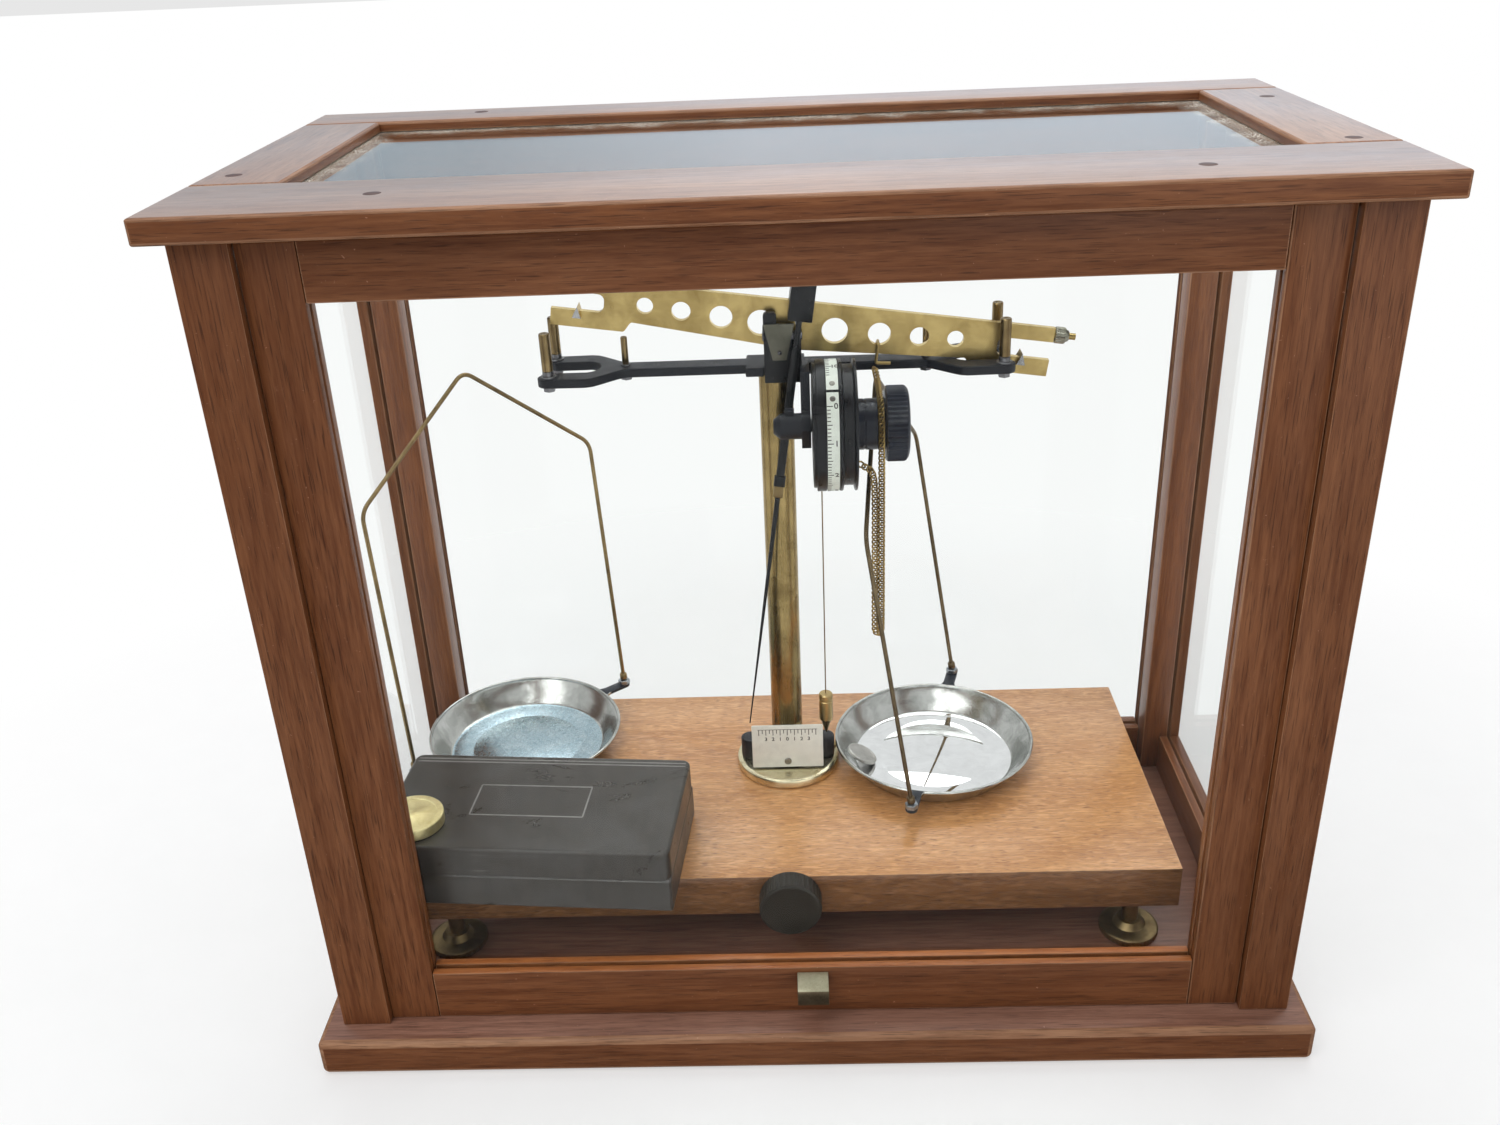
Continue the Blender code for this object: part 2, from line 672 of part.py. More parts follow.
def wall_panes():
    bite = GROOVE_DEPTH - SEAM
    z = (POST_LOW + RAIL_HEIGHT - bite, POST_HIGH - RAIL_HEIGHT + bite)
    reach_y = HALF_DEPTH - POST_SIDE + bite
    reach_x = HALF_WIDTH - POST_SIDE + bite
    for side, sign in (("left", -1), ("right", 1)):
        middle = sign * wall_glass_x()
        x = (middle - GLASS / 2, middle + GLASS / 2)
        piece(side + "_pane", block(x, (-reach_y, reach_y), z), "glass")
    y = (wall_glass_y() - GLASS / 2, wall_glass_y() + GLASS / 2)
    piece("rear_pane", block((-reach_x, reach_x), y, z), "glass")


def top():
    """Lid frame of four butted boards around a pane held in their inner grooves."""
    half_x = HALF_WIDTH + TOP_LEDGE
    half_y = HALF_DEPTH + TOP_LEDGE
    z = (TOP_LOW, TOP_HIGH)
    glass_z = TOP_HIGH - TOP_GLASS_DROP - GLASS / 2
    slot = glass_slot(glass_z)
    front = -half_y + TOP_FRONT_WIDTH
    back = half_y - TOP_BACK_WIDTH
    side = half_x - TOP_SIDE_WIDTH
    boards = [piece("top_front_board", block((-half_x, half_x), (-half_y, front), z), "wood"),
              piece("top_back_board", block((-half_x, half_x), (back, half_y), z), "wood")]
    for board in boards:
        bevel(board, ARRIS)
    groove(boards[0], (-side - GROOVE_DEPTH, side + GROOVE_DEPTH),
           (front - GROOVE_DEPTH, front + PAST), slot)
    groove(boards[1], (-side - GROOVE_DEPTH, side + GROOVE_DEPTH),
           (back - PAST, back + GROOVE_DEPTH), slot)
    for name, sign in (("left", -1), ("right", 1)):
        x = sorted((sign * side, sign * half_x))
        obj = piece("top_" + name + "_board", block(x, (front + SEAM, back - SEAM), z), "wood")
        bevel(obj, ARRIS)
        deep = sorted((sign * (side - PAST), sign * (side + GROOVE_DEPTH)))
        groove(obj, deep, (front - PAST, back + PAST), slot)
    bite = GROOVE_DEPTH - SEAM
    piece("top_pane", block((-side - bite, side + bite), (front - bite, back + bite),
                            (glass_z - GLASS / 2, glass_z + GLASS / 2)), "glass")


def sash_profile(low, high):
    """Side outline of a sash bar; the top front edge is round about the pivot."""
    outline = [(SASH_FRONT, low), (SASH_BACK, low), (SASH_BACK, high)]
    if high == SASH_HIGH:
        return outline + arc((PIVOT_Y, PIVOT_Z), PIVOT_INSET, 90, 180, 5)
    return outline + [(SASH_FRONT, high)]


def sash():
    axis = empty("sash_axis", (0, PIVOT_Y, PIVOT_Z))
    glass_y = (SASH_FRONT + SASH_BACK) / 2
    slot = glass_slot(glass_y)
    bite = GROOVE_DEPTH - SEAM
    inner = SASH_HALF_WIDTH - STILE_WIDTH
    low = SASH_LOW + SASH_BOTTOM_HEIGHT
    high = SASH_HIGH - SASH_TOP_HEIGHT
    for side, sign in (("left", -1), ("right", 1)):
        start = min(sign * inner, sign * SASH_HALF_WIDTH)
        shape = extruded(sash_profile(SASH_LOW, SASH_HIGH), "X", start, STILE_WIDTH)
        stile = piece("sash_" + side + "_stile", shape, "wood", axis)
        deep = sorted((sign * (inner - PAST), sign * (inner + GROOVE_DEPTH)))
        groove(stile, deep, slot, (low - GROOVE_DEPTH, high + GROOVE_DEPTH))
        root = sign * (SASH_HALF_WIDTH - PIVOT_ENGAGEMENT)
        end = sign * (HALF_WIDTH - POST_SIDE + PIVOT_ENGAGEMENT)
        pin = rod((min(root, end), PIVOT_Y, PIVOT_Z), "X", abs(end - root), PIVOT_RADIUS, 12)
        boolean(stile, cutter("sash_" + side + "_pivot_pin", pin, axis), 'UNION')
    length = 2 * (inner - SEAM)
    bottom = piece("sash_bottom_rail",
                   extruded(sash_profile(SASH_LOW, low), "X", -inner + SEAM, length), "wood", axis)
    groove(bottom, (-inner - PAST, inner + PAST), slot, (low - GROOVE_DEPTH, low + PAST))
    top_rail = piece("sash_top_rail",
                     extruded(sash_profile(high, SASH_HIGH), "X", -inner + SEAM, length), "wood", axis)
    groove(top_rail, (-inner - PAST, inner + PAST), slot, (high - PAST, high + GROOVE_DEPTH))
    piece("sash_pane", block((-inner - bite, inner + bite), (glass_y - GLASS / 2, glass_y + GLASS / 2),
                             (low - bite, high + bite)), "glass", axis)
    pull(axis)


def pull(axis):
    """Finger pull: a small block with a rounded nose, hollowed underneath."""
    top_z = SASH_LOW + PULL_RISE
    back = SASH_FRONT - SEAM
    front = back - PULL_REACH
    low = top_z - PULL_HEIGHT
    nose = PULL_NOSE
    outline = [(back, low), (back, top_z), (front + nose, top_z)]
    outline += arc((front + nose, top_z - nose), nose, 90, 180, 4)[1:]
    outline += [(front, low), (front + PULL_WALL, low)]
    hollow = PULL_HEIGHT - PULL_ROOF
    middle = (front + PULL_WALL + back - PULL_WALL) / 2
    half = (back - front) / 2 - PULL_WALL
    outline += [(middle + half * math.cos(math.radians(a)), low + hollow * math.sin(math.radians(a)))
                for a in (150, 120, 90, 60, 30)]
    outline += [(back - PULL_WALL, low)]
    obj = piece("finger_pull", extruded(outline, "X", PULL_X - PULL_WIDTH / 2, PULL_WIDTH), "old_brass",
                axis)
    smooth(obj)


# Base board, feet and arrest knob

def foot_places():
    for end, y in (("front", BOARD_FRONT + FOOT_INSET_Y), ("rear", BOARD_BACK - FOOT_INSET_Y)):
        for side, x in (("left", BOARD_LEFT + FOOT_INSET_X), ("right", BOARD_RIGHT - FOOT_INSET_X)):
            yield end + "_" + side, x, y


def base_board():
    obj = piece("base_board", block((BOARD_LEFT, BOARD_RIGHT), (BOARD_FRONT, BOARD_BACK),
                                    (BOARD_LOW, BOARD_TOP)), "board")
    for name, x, y in foot_places():
        hole = rod((x, y, BOARD_LOW - PAST), "Z", FOOT_ENTRY + RUNNING + PAST,
                   FOOT_STEM_RADIUS + RUNNING, 16)
        boolean(obj, cutter(name + "_foot_hole", hole))
    reach = CAM_LOW_RADIUS + LIFT + CAM_POCKET_GAP
    half = CAM_WIDTH / 2 + CAM_POCKET_GAP
    pocket = block((COLUMN_X - reach, COLUMN_X + reach), (COLUMN_Y - half, COLUMN_Y + half),
                   (ARREST_Z - reach, BOARD_TOP + PAST))
    boolean(obj, cutter("cam_pocket", pocket))
    bore = rod((COLUMN_X, BOARD_FRONT - PAST, ARREST_Z), "Y", COLUMN_Y - BOARD_FRONT + PAST,
               ARREST_SHAFT_RADIUS + RUNNING, 16)
    boolean(obj, cutter("arrest_bore", bore))


def levelling_feet():
    stem_top = BOARD_LOW - FLOOR_Z - SEAM + FOOT_ENTRY
    profile = [(0, 0), (FOOT_RADIUS, 0), (FOOT_RADIUS, FOOT_THICKNESS - FOOT_CHAMFER),
               (FOOT_RADIUS - FOOT_CHAMFER, FOOT_THICKNESS),
               (FOOT_SHOULDER_RADIUS, FOOT_SHOULDER_RISE), (FOOT_COLLAR_RADIUS, FOOT_COLLAR_RISE),
               (FOOT_STEM_RADIUS, FOOT_COLLAR_RISE), (FOOT_STEM_RADIUS, stem_top), (0, stem_top)]
    for name, x, y in foot_places():
        foot = piece(name + "_foot", turned(profile, 16), "brass")
        foot.location = (x, y, FLOOR_Z + SEAM)
        smooth(foot)


def cam_outline():
    """Snail cam that raises the rod in proportion to the knob's turn."""
    points = []
    steps = 12
    for step in range(steps + 1):
        turn = LIFT_TURN * step / steps
        radius = CAM_LOW_RADIUS + LIFT * step / steps
        points.append((-radius * math.sin(turn), radius * math.cos(turn)))
    rest = arc((0, 0), CAM_LOW_RADIUS, 90 + math.degrees(LIFT_TURN) + CAM_FALL, 450 - CAM_JOIN, 14)
    return points + rest


def arrest():
    axis = empty("arrest_axis", (COLUMN_X, BOARD_FRONT, ARREST_Z))
    face = BOARD_FRONT - SEAM
    outline = []
    for index in range(ARREST_KNOB_RIDGES * 2):
        radius = ARREST_KNOB_RADIUS - (ARREST_KNOB_RIDGE if index % 2 else 0)
        angle = TAU * index / (ARREST_KNOB_RIDGES * 2)
        outline.append((COLUMN_X + radius * math.cos(angle), ARREST_Z + radius * math.sin(angle)))
    obj = piece("arrest_knob", extruded(outline, "Y", face - ARREST_KNOB_THICKNESS,
                                        ARREST_KNOB_THICKNESS), "old_brass", axis)
    socket = rod((COLUMN_X, face - ARREST_KNOB_THICKNESS / 2, ARREST_Z), "Y", ARREST_KNOB_THICKNESS,
                 ARREST_SHAFT_RADIUS + SEAM, 16)
    boolean(obj, cutter("arrest_knob_socket", socket, axis))
    shaft = bmesh.new()
    start = face - ARREST_KNOB_THICKNESS / 2 + SEAM
    end = COLUMN_Y - CAM_WIDTH / 2
    add_rod(shaft, (COLUMN_X, start, ARREST_Z), "Y", end - start + CAM_WIDTH / 2, ARREST_SHAFT_RADIUS)
    bmesh.ops.recalc_face_normals(shaft, faces=shaft.faces)
    shaft_obj = piece("arrest_shaft", shaft, "steel", axis)
    outline = [(COLUMN_X + x, ARREST_Z + z) for x, z in cam_outline()]
    cam = cutter("arrest_cam", extruded(outline, "Y", end, CAM_WIDTH), axis)
    boolean(shaft_obj, cam, 'UNION')
    smooth(shaft_obj)


# Column, rod, yoke and arm

def column():
    bore = ROD_RADIUS + RUNNING
    profile = [(bore, 0), (FLANGE_RADIUS, 0), (FLANGE_RADIUS, FLANGE_THICKNESS - FLANGE_CHAMFER),
               (FLANGE_RADIUS - FLANGE_CHAMFER, FLANGE_THICKNESS), (bore, FLANGE_THICKNESS)]
    place = (COLUMN_X, COLUMN_Y, BOARD_TOP + SEAM)
    smooth(piece("column_flange", turned(profile, 36, place=place, ring=True), "brass"))
    profile = [(bore, 0), (COLUMN_RADIUS, 0), (COLUMN_RADIUS, COLUMN_LENGTH), (bore, COLUMN_LENGTH)]
    place = (COLUMN_X, COLUMN_Y, COLUMN_LOW)
    smooth(piece("column", turned(profile, 24, place=place, ring=True), "brass"))


def lift_rod(holder):
    low = ARREST_Z + CAM_LOW_RADIUS + RUNNING
    tip = ROD_RADIUS - ROD_TIP_RADIUS
    high = YOKE_FLOOR_LOW - low
    profile = [(0, 0), (ROD_TIP_RADIUS, 0), (ROD_RADIUS, tip), (ROD_RADIUS, high - SEAM),
               (0, high - SEAM)]
    smooth(piece("lift_rod", turned(profile, 16, place=(COLUMN_X, COLUMN_Y, low)), "steel", holder))


def yoke(holder):
    """Forked carrier on the rod: floor, two cheeks with hard plates, a skirt and a shield."""
    x = (COLUMN_X - YOKE_LEFT, COLUMN_X + YOKE_RIGHT)
    front = (BEAM_Y - CHEEK_GAP / 2 - CHEEK_THICKNESS, BEAM_Y - CHEEK_GAP / 2)
    back = (BEAM_Y + CHEEK_GAP / 2, BEAM_Y + CHEEK_GAP / 2 + CHEEK_THICKNESS)
    skirt_low = ARM_TOP - YOKE_SKIRT
    floor = YOKE_FLOOR_LOW + YOKE_FLOOR
    skirt_back = front[0] + YOKE_SKIRT_THICKNESS
    outline = [(front[0], skirt_low), (skirt_back, skirt_low), (skirt_back, YOKE_FLOOR_LOW),
               (back[1], YOKE_FLOOR_LOW), (back[1], CHEEK_TOP), (back[0], CHEEK_TOP), (back[0], floor),
               (front[1], floor), (front[1], CHEEK_TOP), (front[0], CHEEK_TOP)]
    obj = piece("yoke", extruded(outline, "X", x[0], x[1] - x[0]), "black", holder)
    top_z = BEARING_TOP + SHIELD_RISE
    low_z = top_z - SHIELD_HEIGHT
    left = x[0]
    middle = left + SHIELD_TOP_WIDTH / 2
    shield = [(left, top_z), (middle - SHIELD_FOOT_WIDTH / 2, low_z),
              (middle + SHIELD_FOOT_WIDTH / 2, low_z), (left + SHIELD_TOP_WIDTH, top_z)]
    shape = extruded(shield, "Y", front[0] - SHIELD_PROUD, SHIELD_PROUD + SHIELD_SINK)
    boolean(obj, cutter("yoke_shield", shape, holder), 'UNION')
    plates = bmesh.new()
    wide = (x[0] - PLATE_OVERHANG, x[1] + PLATE_OVERHANG)
    for y in ((front[1] - PLATE_DEPTH, front[1] - PLATE_SET_BACK),
              (back[0] + PLATE_SET_BACK, back[0] + PLATE_DEPTH)):
        add_block(plates, wide, y, (CHEEK_TOP - PLATE_SINK, BEARING_TOP))
    boolean(obj, cutter("bearing_plates", plates, holder), 'UNION')


def behind_drum(level):
    """How far back a piece must stay at a level to clear the drum."""
    return DRUM_Y + math.sqrt(DRUM_RADIUS ** 2 - (level - DRUM_Z) ** 2) + SWING


def arm_outline():
    """Half of the arm seen from above, from the block to the fork's tip and back."""
    half = ARM_WIDTH / 2
    outer = FORK_SLOT_HALF + FORK_PRONG
    pin = FORK_PIN_X
    reach = ARM_HALF_LENGTH - pin
    widening = FORK_SLOT_START + FORK_SHOULDER - FORK_START
    points = [(FORK_START, -half)]
    for step in range(1, 7):
        t = step / 6
        ease = t * t * (3 - 2 * t)
        points.append((FORK_START + widening * t, -half - (outer - half) * ease))
    points += arc((pin, -FORK_PIN_Y), reach, -75, 75, 6)
    points += [(pin, -FORK_SLOT_HALF)]
    points += arc((FORK_SLOT_START + FORK_SLOT_HALF, 0), FORK_SLOT_HALF, -90, -270, 10)
    points += [(pin, FORK_SLOT_HALF)]
    points += arc((pin, FORK_PIN_Y), reach, -75, 75, 6)
    for step in range(6, 0, -1):
        t = step / 6
        ease = t * t * (3 - 2 * t)
        points.append((FORK_START + widening * t, half + (outer - half) * ease))
    points.append((FORK_START, half))
    return points


def arm():
    """Arrest arm: a bar with a notched centre block, a drum lug and a fork at each end."""
    half = ARM_WIDTH / 2
    deep = BLOCK_HALF_DEPTH
    right_side = arm_outline()
    left_side = [(-x, -y) for x, y in right_side]
    notch = (-YOKE_LEFT - RUNNING, YOKE_RIGHT + RUNNING)
    cheek_front = BEAM_Y - CHEEK_GAP / 2 - CHEEK_THICKNESS
    notch_back = cheek_front + YOKE_SKIRT_THICKNESS + RUNNING - COLUMN_Y
    lug = BLOCK_RIGHT + DRUM_LUG_WIDTH
    lug_front = behind_drum(ARM_LOW) - COLUMN_Y
    outline = left_side + [(-BLOCK_LEFT, -half), (-BLOCK_LEFT, -deep), (notch[0], -deep),
                           (notch[0], notch_back), (notch[1], notch_back), (notch[1], -deep),
                           (BLOCK_RIGHT, -deep), (BLOCK_RIGHT, lug_front), (lug, lug_front), (lug, -half)]
    outline += right_side + [(BLOCK_RIGHT, half), (BLOCK_RIGHT, deep), (-BLOCK_LEFT, deep),
                             (-BLOCK_LEFT, half)]
    outline = [(COLUMN_X + x, COLUMN_Y + y) for x, y in outline]
    obj = piece("arrest_arm", extruded(outline, "Z", ARM_LOW, ARM_THICKNESS), "black")
    bore = rod((COLUMN_X, COLUMN_Y, ARM_LOW - PAST), "Z", ARM_THICKNESS + 2 * PAST,
               ROD_RADIUS + RUNNING)
    boolean(obj, cutter("arm_bore", bore))
    boolean(obj, cutter("arm_pins", arm_pins()), 'UNION')


def arm_pin_places():
    for sign in (-1, 1):
        x = COLUMN_X + sign * FORK_PIN_X
        for way in (-1, 1):
            yield x, COLUMN_Y + way * FORK_PIN_Y, FORK_PIN_RADIUS, FORK_PIN_RISE
        x = COLUMN_X + sign * MID_PIN_X
        yield x, COLUMN_Y + MID_PIN_Y, MID_PIN_RADIUS, MID_PIN_RISE


def arm_pins():
    """Six stops, each a pin with a washer above the arm and a nut under it."""
    bm = bmesh.new()
    for x, y, radius, rise in arm_pin_places():
        collar = radius * PIN_COLLAR
        nut = ARM_THICKNESS + PIN_NUT_HEIGHT
        profile = [(0, -nut), (collar, -nut), (collar, PIN_WASHER_HEIGHT),
                   (radius, PIN_WASHER_HEIGHT), (radius, rise), (0, rise)]
        pin = turned(profile, 12, place=(x, y, ARM_TOP))
        mesh = bpy.data.meshes.new("arm_pin")
        pin.to_mesh(mesh)
        pin.free()
        bm.from_mesh(mesh)
        bpy.data.meshes.remove(mesh)
    return bm


# Beam and what it carries

def beam_half():
    """Right half outline, from the middle of the lower edge round to the top."""
    rise = BEAM_LOW_STEP - BEAM_LOW_END
    points = [(0, BEAM_LOW_MIDDLE), (STEP_START, BEAM_LOW_STEP)]
    for step in range(1, 6):
        t = step / 5
        ease = t * t * (3 - 2 * t)
        points.append((STEP_START + (STEP_END - STEP_START) * t, BEAM_LOW_STEP - rise * ease))
    round_ = END_SLOT_ROUND
    points += [(LOWER_BAR_END, BEAM_LOW_END), (LOWER_BAR_END, END_SLOT_LOW)]
    points += arc((END_SLOT_START + round_, END_SLOT_LOW + round_), round_, 270, 180, 4)
    points += arc((END_SLOT_START + round_, END_SLOT_HIGH - round_), round_, 180, 90, 4)
    points += [(BEAM_HALF_LENGTH, END_SLOT_HIGH), (BEAM_HALF_LENGTH, BEAM_TOP)]
    return points


def knife(bm, x, way, length):
    """Triangular prism whose edge lies on the line of the three edges."""
    half = KNIFE_WIDTH / 2
    outline = [(x, 0), (x + half, way * KNIFE_HEIGHT), (x - half, way * KNIFE_HEIGHT)]
    add_extruded(bm, outline, "Y", -length / 2, length)


def knife_hole():
    half = KNIFE_WIDTH / 2 + 2 * SEAM
    outline = [(0, -3 * SEAM), (half, KNIFE_HEIGHT + SEAM), (-half, KNIFE_HEIGHT + SEAM)]
    return extruded(outline, "Y", -BEAM_THICKNESS, 2 * BEAM_THICKNESS)


def beam(lift):
    axis = empty("beam_axis", Vector((KNIFE_X, BEAM_Y, KNIFE_Z)) - lift.location,
                 (0, BEAM_TILT, 0), lift)
    right = beam_half()
    left = [(-x, z) for x, z in reversed(right[1:])]
    obj = piece("beam", extruded(right + left, "Y", -BEAM_THICKNESS / 2, BEAM_THICKNESS), "brass",
                axis, local=True)
    holes = bmesh.new()
    for sign in (-1, 1):
        for x, z, radius in BEAM_HOLES:
            add_rod(holes, (sign * x, -BEAM_THICKNESS, z), "Y", 2 * BEAM_THICKNESS, radius, 24)
    bmesh.ops.recalc_face_normals(holes, faces=holes.faces)
    boolean(obj, cutter("beam_holes", holes, axis, local=True))
    boolean(obj, cutter("middle_knife_hole", knife_hole(), axis, local=True))
    middle = bmesh.new()
    knife(middle, 0, 1, MID_KNIFE_LENGTH)
    piece("middle_knife", middle, "steel", axis, local=True)
    stud_z = (END_SLOT_HIGH + BEAM_TOP) / 2
    for side, sign in (("left", -1), ("right", 1)):
        edge = bmesh.new()
        knife(edge, sign * END_KNIFE_X, -1, END_KNIFE_LENGTH)
        boolean(obj, cutter(side + "_knife", edge, axis, local=True), 'UNION')
        start = min(sign * (BEAM_HALF_LENGTH - STUD_ROOT), sign * (BEAM_HALF_LENGTH + STUD_LENGTH))
        stud = rod((start, 0, stud_z), "X", STUD_LENGTH + STUD_ROOT, STUD_RADIUS, 12)
        boolean(obj, cutter(side + "_stud", stud, axis, local=True), 'UNION')
        beam_nut(side, sign, axis, stud_z)
    pointer(axis)
    hook(axis)


def beam_nut(side, sign, axis, stud_z):
    bore = STUD_RADIUS + RUNNING
    profile = [(bore, 0), (BEAM_NUT_RADIUS, 0), (BEAM_NUT_RADIUS, BEAM_NUT_LENGTH),
               (bore, BEAM_NUT_LENGTH)]
    start = sign * (BEAM_HALF_LENGTH + SEAM)
    holder = empty(side + "_nut_axis", (start, 0, stud_z), (0, 0, 0), axis)
    shape = turned(profile, 20, axis="X", ring=True)
    if sign < 0:
        bmesh.ops.translate(shape, verts=shape.verts, vec=(-BEAM_NUT_LENGTH, 0, 0))
    smooth(piece(side + "_beam_nut", shape, "brass", holder, local=True))


def pointer(axis):
    """Block over the beam's top edge with the long pointer hanging in front."""
    front = -POINTER_FRONT
    inner = BEAM_THICKNESS / 2 + SEAM
    block_top = POINTER_BLOCK_HIGH
    bridge = BEAM_TOP + SEAM
    outline = [(front, POINTER_BLOCK_LOW), (-inner, POINTER_BLOCK_LOW), (-inner, bridge), (inner, bridge),
               (inner, POINTER_BLOCK_LOW), (POINTER_BLOCK_BACK, POINTER_BLOCK_LOW),
               (POINTER_BLOCK_BACK, block_top), (front, block_top)]
    shape = extruded(outline, "X", -POINTER_BLOCK_LEFT, POINTER_BLOCK_LEFT + POINTER_BLOCK_RIGHT)
    obj = piece("pointer", shape, "black", axis, local=True)
    neck = POINTER_NECK_WIDTH / 2
    wide = POINTER_WIDTH / 2
    grip = COLLAR_WIDTH / 2
    collar_low = COLLAR_TOP + COLLAR_LENGTH
    side = [(neck, POINTER_BLOCK_LOW + POINTER_ROOT), (neck, -POINTER_NECK_END),
            (wide, -POINTER_WIDE_FROM), (wide, -COLLAR_TOP), (grip, -COLLAR_TOP - COLLAR_SLOPE),
            (grip, -collar_low + COLLAR_SLOPE), (neck, -collar_low),
            (POINTER_TIP_WIDTH / 2, -POINTER_LENGTH)]
    outline = side + [(-x, z) for x, z in reversed(side)]
    needle = extruded(outline, "Y", front, POINTER_THICKNESS)
    boolean(obj, cutter("pointer_needle", needle, axis, local=True), 'UNION')


def hook(axis):
    """Wire hook through a beam hole, from which the chain hangs."""
    hole_x, hole_z, hole_radius = BEAM_HOLES[1]
    seat = hole_z - hole_radius + HOOK_WIRE + SEAM
    off = BEAM_THICKNESS / 2 + HOOK_WIRE + SEAM
    corners = [(HOOK_X, off, seat - HOOK_TAIL), (HOOK_X, off, seat), (HOOK_X, -HOOK_FRONT, seat),
               (HOOK_X, -HOOK_FRONT, -HOOK_DROP),
               (HOOK_X + HOOK_TOE, -HOOK_FRONT, HOOK_TOE_RISE - HOOK_DROP)]
    wire("chain_hook", rounded_path(corners, HOOK_BEND, 3), HOOK_WIRE, "brass", axis)


def chain(lift):
    """The chain as a plain round cord: hook, over the knob's hub, down, and back to the drum."""
    hook_at = (Matrix.Translation((KNIFE_X, BEAM_Y, KNIFE_Z)) @ Matrix.Rotation(BEAM_TILT, 4, 'Y')
               @ Vector((HOOK_X, 0, -HOOK_DROP)))
    right_x = DRUM_RIGHT + SEAM + HUB_LENGTH - CHAIN_RADIUS - CHAIN_HUB_GAP
    left_x = right_x - 2 * CHAIN_RADIUS - SEAM
    wrap = HUB_RADIUS + CHAIN_RADIUS + SEAM
    front_y = DRUM_Y - wrap
    low_z = DRUM_Z - CHAIN_LOOP_DROP
    turn_z = low_z + CHAIN_TURN_RISE
    feed_left, feed_front, feed_drop = CHAIN_FEED
    end_front, end_drop = CHAIN_END
    guide = [Vector((right_x - CHAIN_HEAD_LEFT, BEAM_Y - CHAIN_HEAD_FRONT, hook_at.z - CHAIN_HEAD_DROP)),
             Vector((right_x, DRUM_Y + CHAIN_LEAD_BACK, DRUM_Z + wrap + CHAIN_LEAD_RISE))]
    for angle in (90, 115, 140, 165, 180):
        turn = math.radians(angle)
        guide.append(Vector((right_x, DRUM_Y + wrap * math.cos(turn), DRUM_Z + wrap * math.sin(turn))))
    loop = (right_x - left_x) / 2
    for x, z in ((right_x, DRUM_Z - CHAIN_HANG_FROM), (right_x, DRUM_Z - CHAIN_HANG_TO),
                 (right_x, turn_z), (right_x - CHAIN_TURN_EASE, low_z + loop), (right_x - loop, low_z),
                 (left_x + CHAIN_TURN_EASE, low_z + loop), (left_x, turn_z),
                 (left_x, DRUM_Z - CHAIN_HANG_TO), (left_x, DRUM_Z - CHAIN_RISE_TO)):
        guide.append(Vector((x, front_y, z)))
    guide += [Vector((left_x - feed_left, front_y - feed_front, DRUM_Z - feed_drop)),
              Vector((DRUM_RIGHT + SEAM + CHAIN_RADIUS, front_y - end_front, DRUM_Z - end_drop))]
    wire("chain", smooth_route(guide, 3), CHAIN_RADIUS, "old_brass", lift, local=False)


def smooth_route(guide, steps):
    """Catmull-Rom curve through the guide points."""
    ends = [guide[0] * 2 - guide[1]] + guide + [guide[-1] * 2 - guide[-2]]
    points = []
    for a, b, c, d in zip(ends, ends[1:], ends[2:], ends[3:]):
        for step in range(steps):
            t = step / steps
            points.append(0.5 * ((2 * b) + (c - a) * t + (2 * a - 5 * b + 4 * c - d) * t * t
                                 + (3 * b - a - 3 * c + d) * t ** 3))
    points.append(guide[-1])
    return points


# Drum, bracket, scale and plumb bob

def drum():
    axis = empty("drum_axis", (DRUM_LEFT, DRUM_Y, DRUM_Z))
    bore = SPINDLE_RADIUS + RUNNING
    seat = DRUM_RADIUS - TAPE_SEAT
    edge = DRUM_STEP
    groove_radius = DRUM_RADIUS - DRUM_GROOVE
    profile = [(bore, 0), (DRUM_RADIUS - edge, 0), (DRUM_RADIUS - edge, edge), (DRUM_RADIUS, edge),
               (DRUM_RADIUS, TAPE_START), (seat, TAPE_START), (seat, TAPE_START + TAPE_WIDTH),
               (DRUM_RADIUS, TAPE_START + TAPE_WIDTH), (DRUM_RADIUS, GROOVE_START),
               (groove_radius, GROOVE_START), (groove_radius, GROOVE_END), (DRUM_RADIUS, GROOVE_END),
               (DRUM_RADIUS, DRUM_LENGTH), (bore, DRUM_LENGTH)]
    smooth(piece("drum", turned(profile, 36, axis="X", ring=True), "black", axis, local=True))
    tape(axis, seat)
    knob(axis)


def tape(axis, seat):
    """Graduated tape round the drum, its two ends a little apart."""
    inner = seat + SEAM
    outer = inner + TAPE_THICKNESS
    gap = TAPE_SEAM_GAP / inner
    start = math.degrees(math.pi - TAPE_SEAM_ANGLE + gap / 2)
    sweep = 360 - math.degrees(gap)
    outline = arc((0, 0), outer, start, start + sweep, 36)
    outline += arc((0, 0), inner, start + sweep, start, 36)
    shape = extruded(outline, "X", TAPE_START + SEAM, TAPE_WIDTH - 2 * SEAM)
    smooth(piece("scale_tape", shape, "ivory", axis, local=True))


